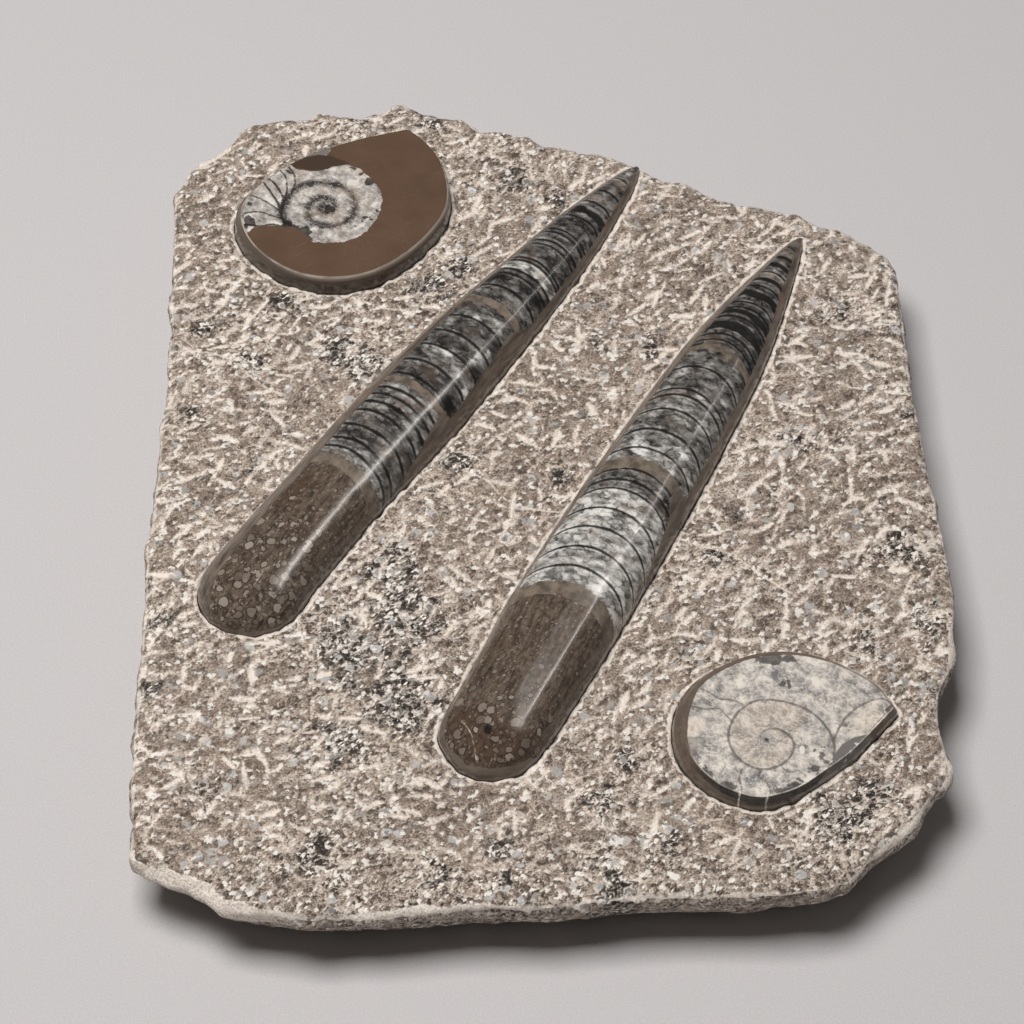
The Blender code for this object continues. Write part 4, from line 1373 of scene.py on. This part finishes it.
def grey_material():
    """Grey and cream calcite with fine lines, a grey wedge and a brown wall."""
    finish = Finish("grey_calcite", coat=0.35, coat_roughness=0.1)
    place, face, away = finish.place, finish.mark("face_depth"), finish.mark("away")
    grain = stone_grain(place, 0.7)
    polish = worn_polish(place, 0.2)
    mottle = clouds(place, 4.6, 4.0, 0.58)
    ray = clouds(finish.mark("spoke", "Vector") * (5.0, 5.0, 9.0), 1.5, 4.0, 0.65)
    pale = ray * 0.45 + mottle * 0.55
    colour = ramp(
        pale, (0.37, (112, 107, 104)), (0.44, (150, 144, 139)), (0.52, (184, 176, 167)),
        (0.60, (218, 208, 196)),
    )
    tone = (mottle - 0.5) * 1.6 + finish.mark("tone")
    colour = mix(between(tone, 0.2, 0.7, 0.0, 0.75), colour, (206, 192, 177))
    colour = mix(between(tone, -0.2, -0.75, 0.0, 0.75), colour, (112, 110, 110))
    # The inner whorls, with strokes, lines and spots over all of the face
    inner = ramp(
        pale, (0.36, (134, 127, 122)), (0.46, (166, 154, 143)), (0.54, (188, 176, 162)),
        (0.64, (208, 198, 186)),
    )
    brownish = between(away, 10.0, 15.0, 0.0, 0.35) * between(mottle, 0.58, 0.44)
    inner = mix(brownish, inner, (150, 128, 112))
    inner = mix(between(away, 5.6, 1.5, 0.0, 0.55), inner, (128, 126, 126))
    colour = painted(colour, inner, 1.0, finish.mark("calcite_depth"), place, 4.0, 0.8, 0.9)
    strokes = abs(clouds(mottle * (5.0, -4.0, 0.0) + place, 2.3, 2.0) - 0.5)
    colour = mix(between(strokes, 0.04, 0.01, 0.0, 0.5), colour, (226, 218, 208))
    colour = mix(between(strokes, 0.11, 0.15, 0.0, 0.4), colour, (126, 119, 113))
    strength = between(away, 1.5, 8.0, 0.35, 0.8)
    lines = -finish.mark("line_gap")
    colour = painted(colour, (88, 82, 78), strength, lines, place, 2.0, 0.3, 0.3)
    colour = mix(between(away, 1.6, 0.4, 0.0, 0.7), colour, (84, 80, 78))
    patch = finish.mark("patch_depth")
    colour = painted(colour, (112, 104, 98), 0.6, patch, place, 1.5, 0.3, 0.2)
    colour = painted(colour, (58, 54, 52), 0.8, finish.mark("spot_depth"), place, 1.4, 0.9, 0.35)

    # The wall, the worn rim, a painted highlight along the edge, the wedge and the cracks
    behind = side_reach(finish, 120.0) * 1.5
    wall = mix(clouds(place, 3.0, 4.0, 0.65), (58, 48, 41), (112, 95, 81))
    dark = between(abs(face + 0.75), 0.75, 0.4) * side_reach(finish, 270.0)
    wall = mix(dark, wall, (34, 32, 31))
    colour = painted(colour, wall, 0.95, behind - face, place, 4.0, 0.3, 0.2)
    rim = between(abs(face - 0.55), 0.55, 0.2) * (side_reach(finish, 70.0) * 0.75)
    colour = mix(rim, colour, (108, 92, 79))
    # A pale line along the edge of the face, except at the upper left: a painted highlight
    uneven = between(clouds(place, 7.0, 2.0), 0.40, 0.6, 0.1, 0.6)
    edge = between(abs(face - 0.1), 0.32, 0.08) * uneven * between(behind, 0.9, 0.1)
    colour = mix(edge, colour, (198, 188, 176))
    wedge = mix(between(grain["Rubble"], 0.95, 0.98), (110, 105, 101), (200, 194, 186))
    colour = painted(colour, wedge, 1.0, finish.mark("shade_depth"), place, 3.0, 0.25, 0.15)
    cracks = -finish.mark("crack_gap")
    colour = painted(colour, (222, 214, 203), 0.9, cracks, place, 2.0, 0.2, 0.2)
    return finish.done(colour, polish["Roughness"], polish["Relief"], POLISH_DEPTH)


# The floor, the light and the camera

def make_floor():
    """A wide pale floor with a faint grain, which isn't a piece of the plate."""
    finish = Finish("pale_floor")
    paper = clouds(finish.place, 0.8, 2.0, 0.7)
    data = bpy.data.meshes.new("floor")
    reach = 4.0
    corners = [(-reach, -reach, 0), (reach, -reach, 0), (reach, reach, 0), (-reach, reach, 0)]
    data.from_pydata(corners, [], [(0, 1, 2, 3)])
    data.materials.append(finish.done(mix(paper, (174, 170, 169), (204, 200, 199)), 0.9))
    floor = bpy.data.objects.new("floor", data)
    bpy.context.scene.collection.objects.link(floor)


def add_light(name, place, heading, size, power, colour, only_gloss):
    """A flat softbox that faces the middle of the plate. Its length follows the heading. It
    is seen in the polish alone or lights everything but the polish."""
    data = bpy.data.lights.new(name, "AREA")
    data.shape = "RECTANGLE"
    data.size, data.size_y = size
    data.energy = power
    data.color = colour
    light = bpy.data.objects.new(name, data)
    back = Vector(place).normalized()
    turn = math.radians(heading)
    along = Vector((math.cos(turn), math.sin(turn), 0.0))
    along = (along - along.project(back)).normalized()
    light.rotation_euler = Matrix((along.cross(back), along, back)).transposed().to_euler()
    light.location = place
    light.visible_glossy = only_gloss
    light.visible_diffuse = not only_gloss
    bpy.context.scene.collection.objects.link(light)


def light_the_scene():
    """A dim room, a softbox overhead, and softboxes seen in the polish alone."""
    world = bpy.data.worlds.new("room")
    world.use_nodes = True
    sockets = world.node_tree.nodes["Background"].inputs
    feed(sockets["Color"], (255, 255, 255))
    feed(sockets["Strength"], ROOM_LIGHT)
    bpy.context.scene.world = world
    add_light("overhead", (-0.42, 0.02, 1.8), 0.0, (0.85, 0.85), 40.0, (1.0, 1.0, 1.0), False)
    for i, power in enumerate(GLOW_POWERS):
        place = (0.79 - 0.14 * i, 0.06 + 0.02 * i, 1.2)
        add_light(f"side_glow_{i + 1}", place, GLOW_HEADING, (0.15, 0.74), power, WARM, True)
    add_light("side_glint", (0.86, 0.24, 1.2), GLOW_HEADING, (0.03, 1.08), 1.45, WARM, True)
    bpy.context.scene.view_settings.view_transform = "Standard"


def add_camera():
    """The camera, at the photograph's place."""
    data = bpy.data.cameras.new("camera")
    data.lens = CAMERA_LENS
    data.sensor_width = 36.0
    camera = bpy.data.objects.new("camera", data)
    camera.location = CAMERA_PLACE
    camera.rotation_euler = (math.radians(CAMERA_TILT), 0.0, 0.0)
    bpy.context.scene.collection.objects.link(camera)
    bpy.context.scene.camera = camera


def build():
    """Makes everything in the scene."""
    outlines = [cone_outline(cone) for cone in (RIGHT_CONE, LEFT_CONE)]
    outlines += [curve_through(coil["edge"], SEAT_STEP, closed=True) for coil in (BROWN_COIL, GREY_COIL)]
    seats = [offset(line, 0.2 + 0.35 * np.abs(rough(line, 5.0, SEED + 131, 2))) for line in outlines]
    make_slab(seats, slab_material())
    banded = orthocone_material()
    for side, cone in (("right", RIGHT_CONE), ("left", LEFT_CONE)):
        make_orthocone(f"banded_orthocone_{side}", f"orthocone_{side}", cone, banded)
    for colour, coil, material in (
        ("brown", BROWN_COIL, brown_material()), ("grey", GREY_COIL, grey_material())
    ):
        names = (f"sliced_ammonite_{colour}", f"ammonite_{colour}", f"polished_{colour}")
        make_ammonite(*names, coil, material)
    make_floor()
    light_the_scene()
    add_camera()


build()
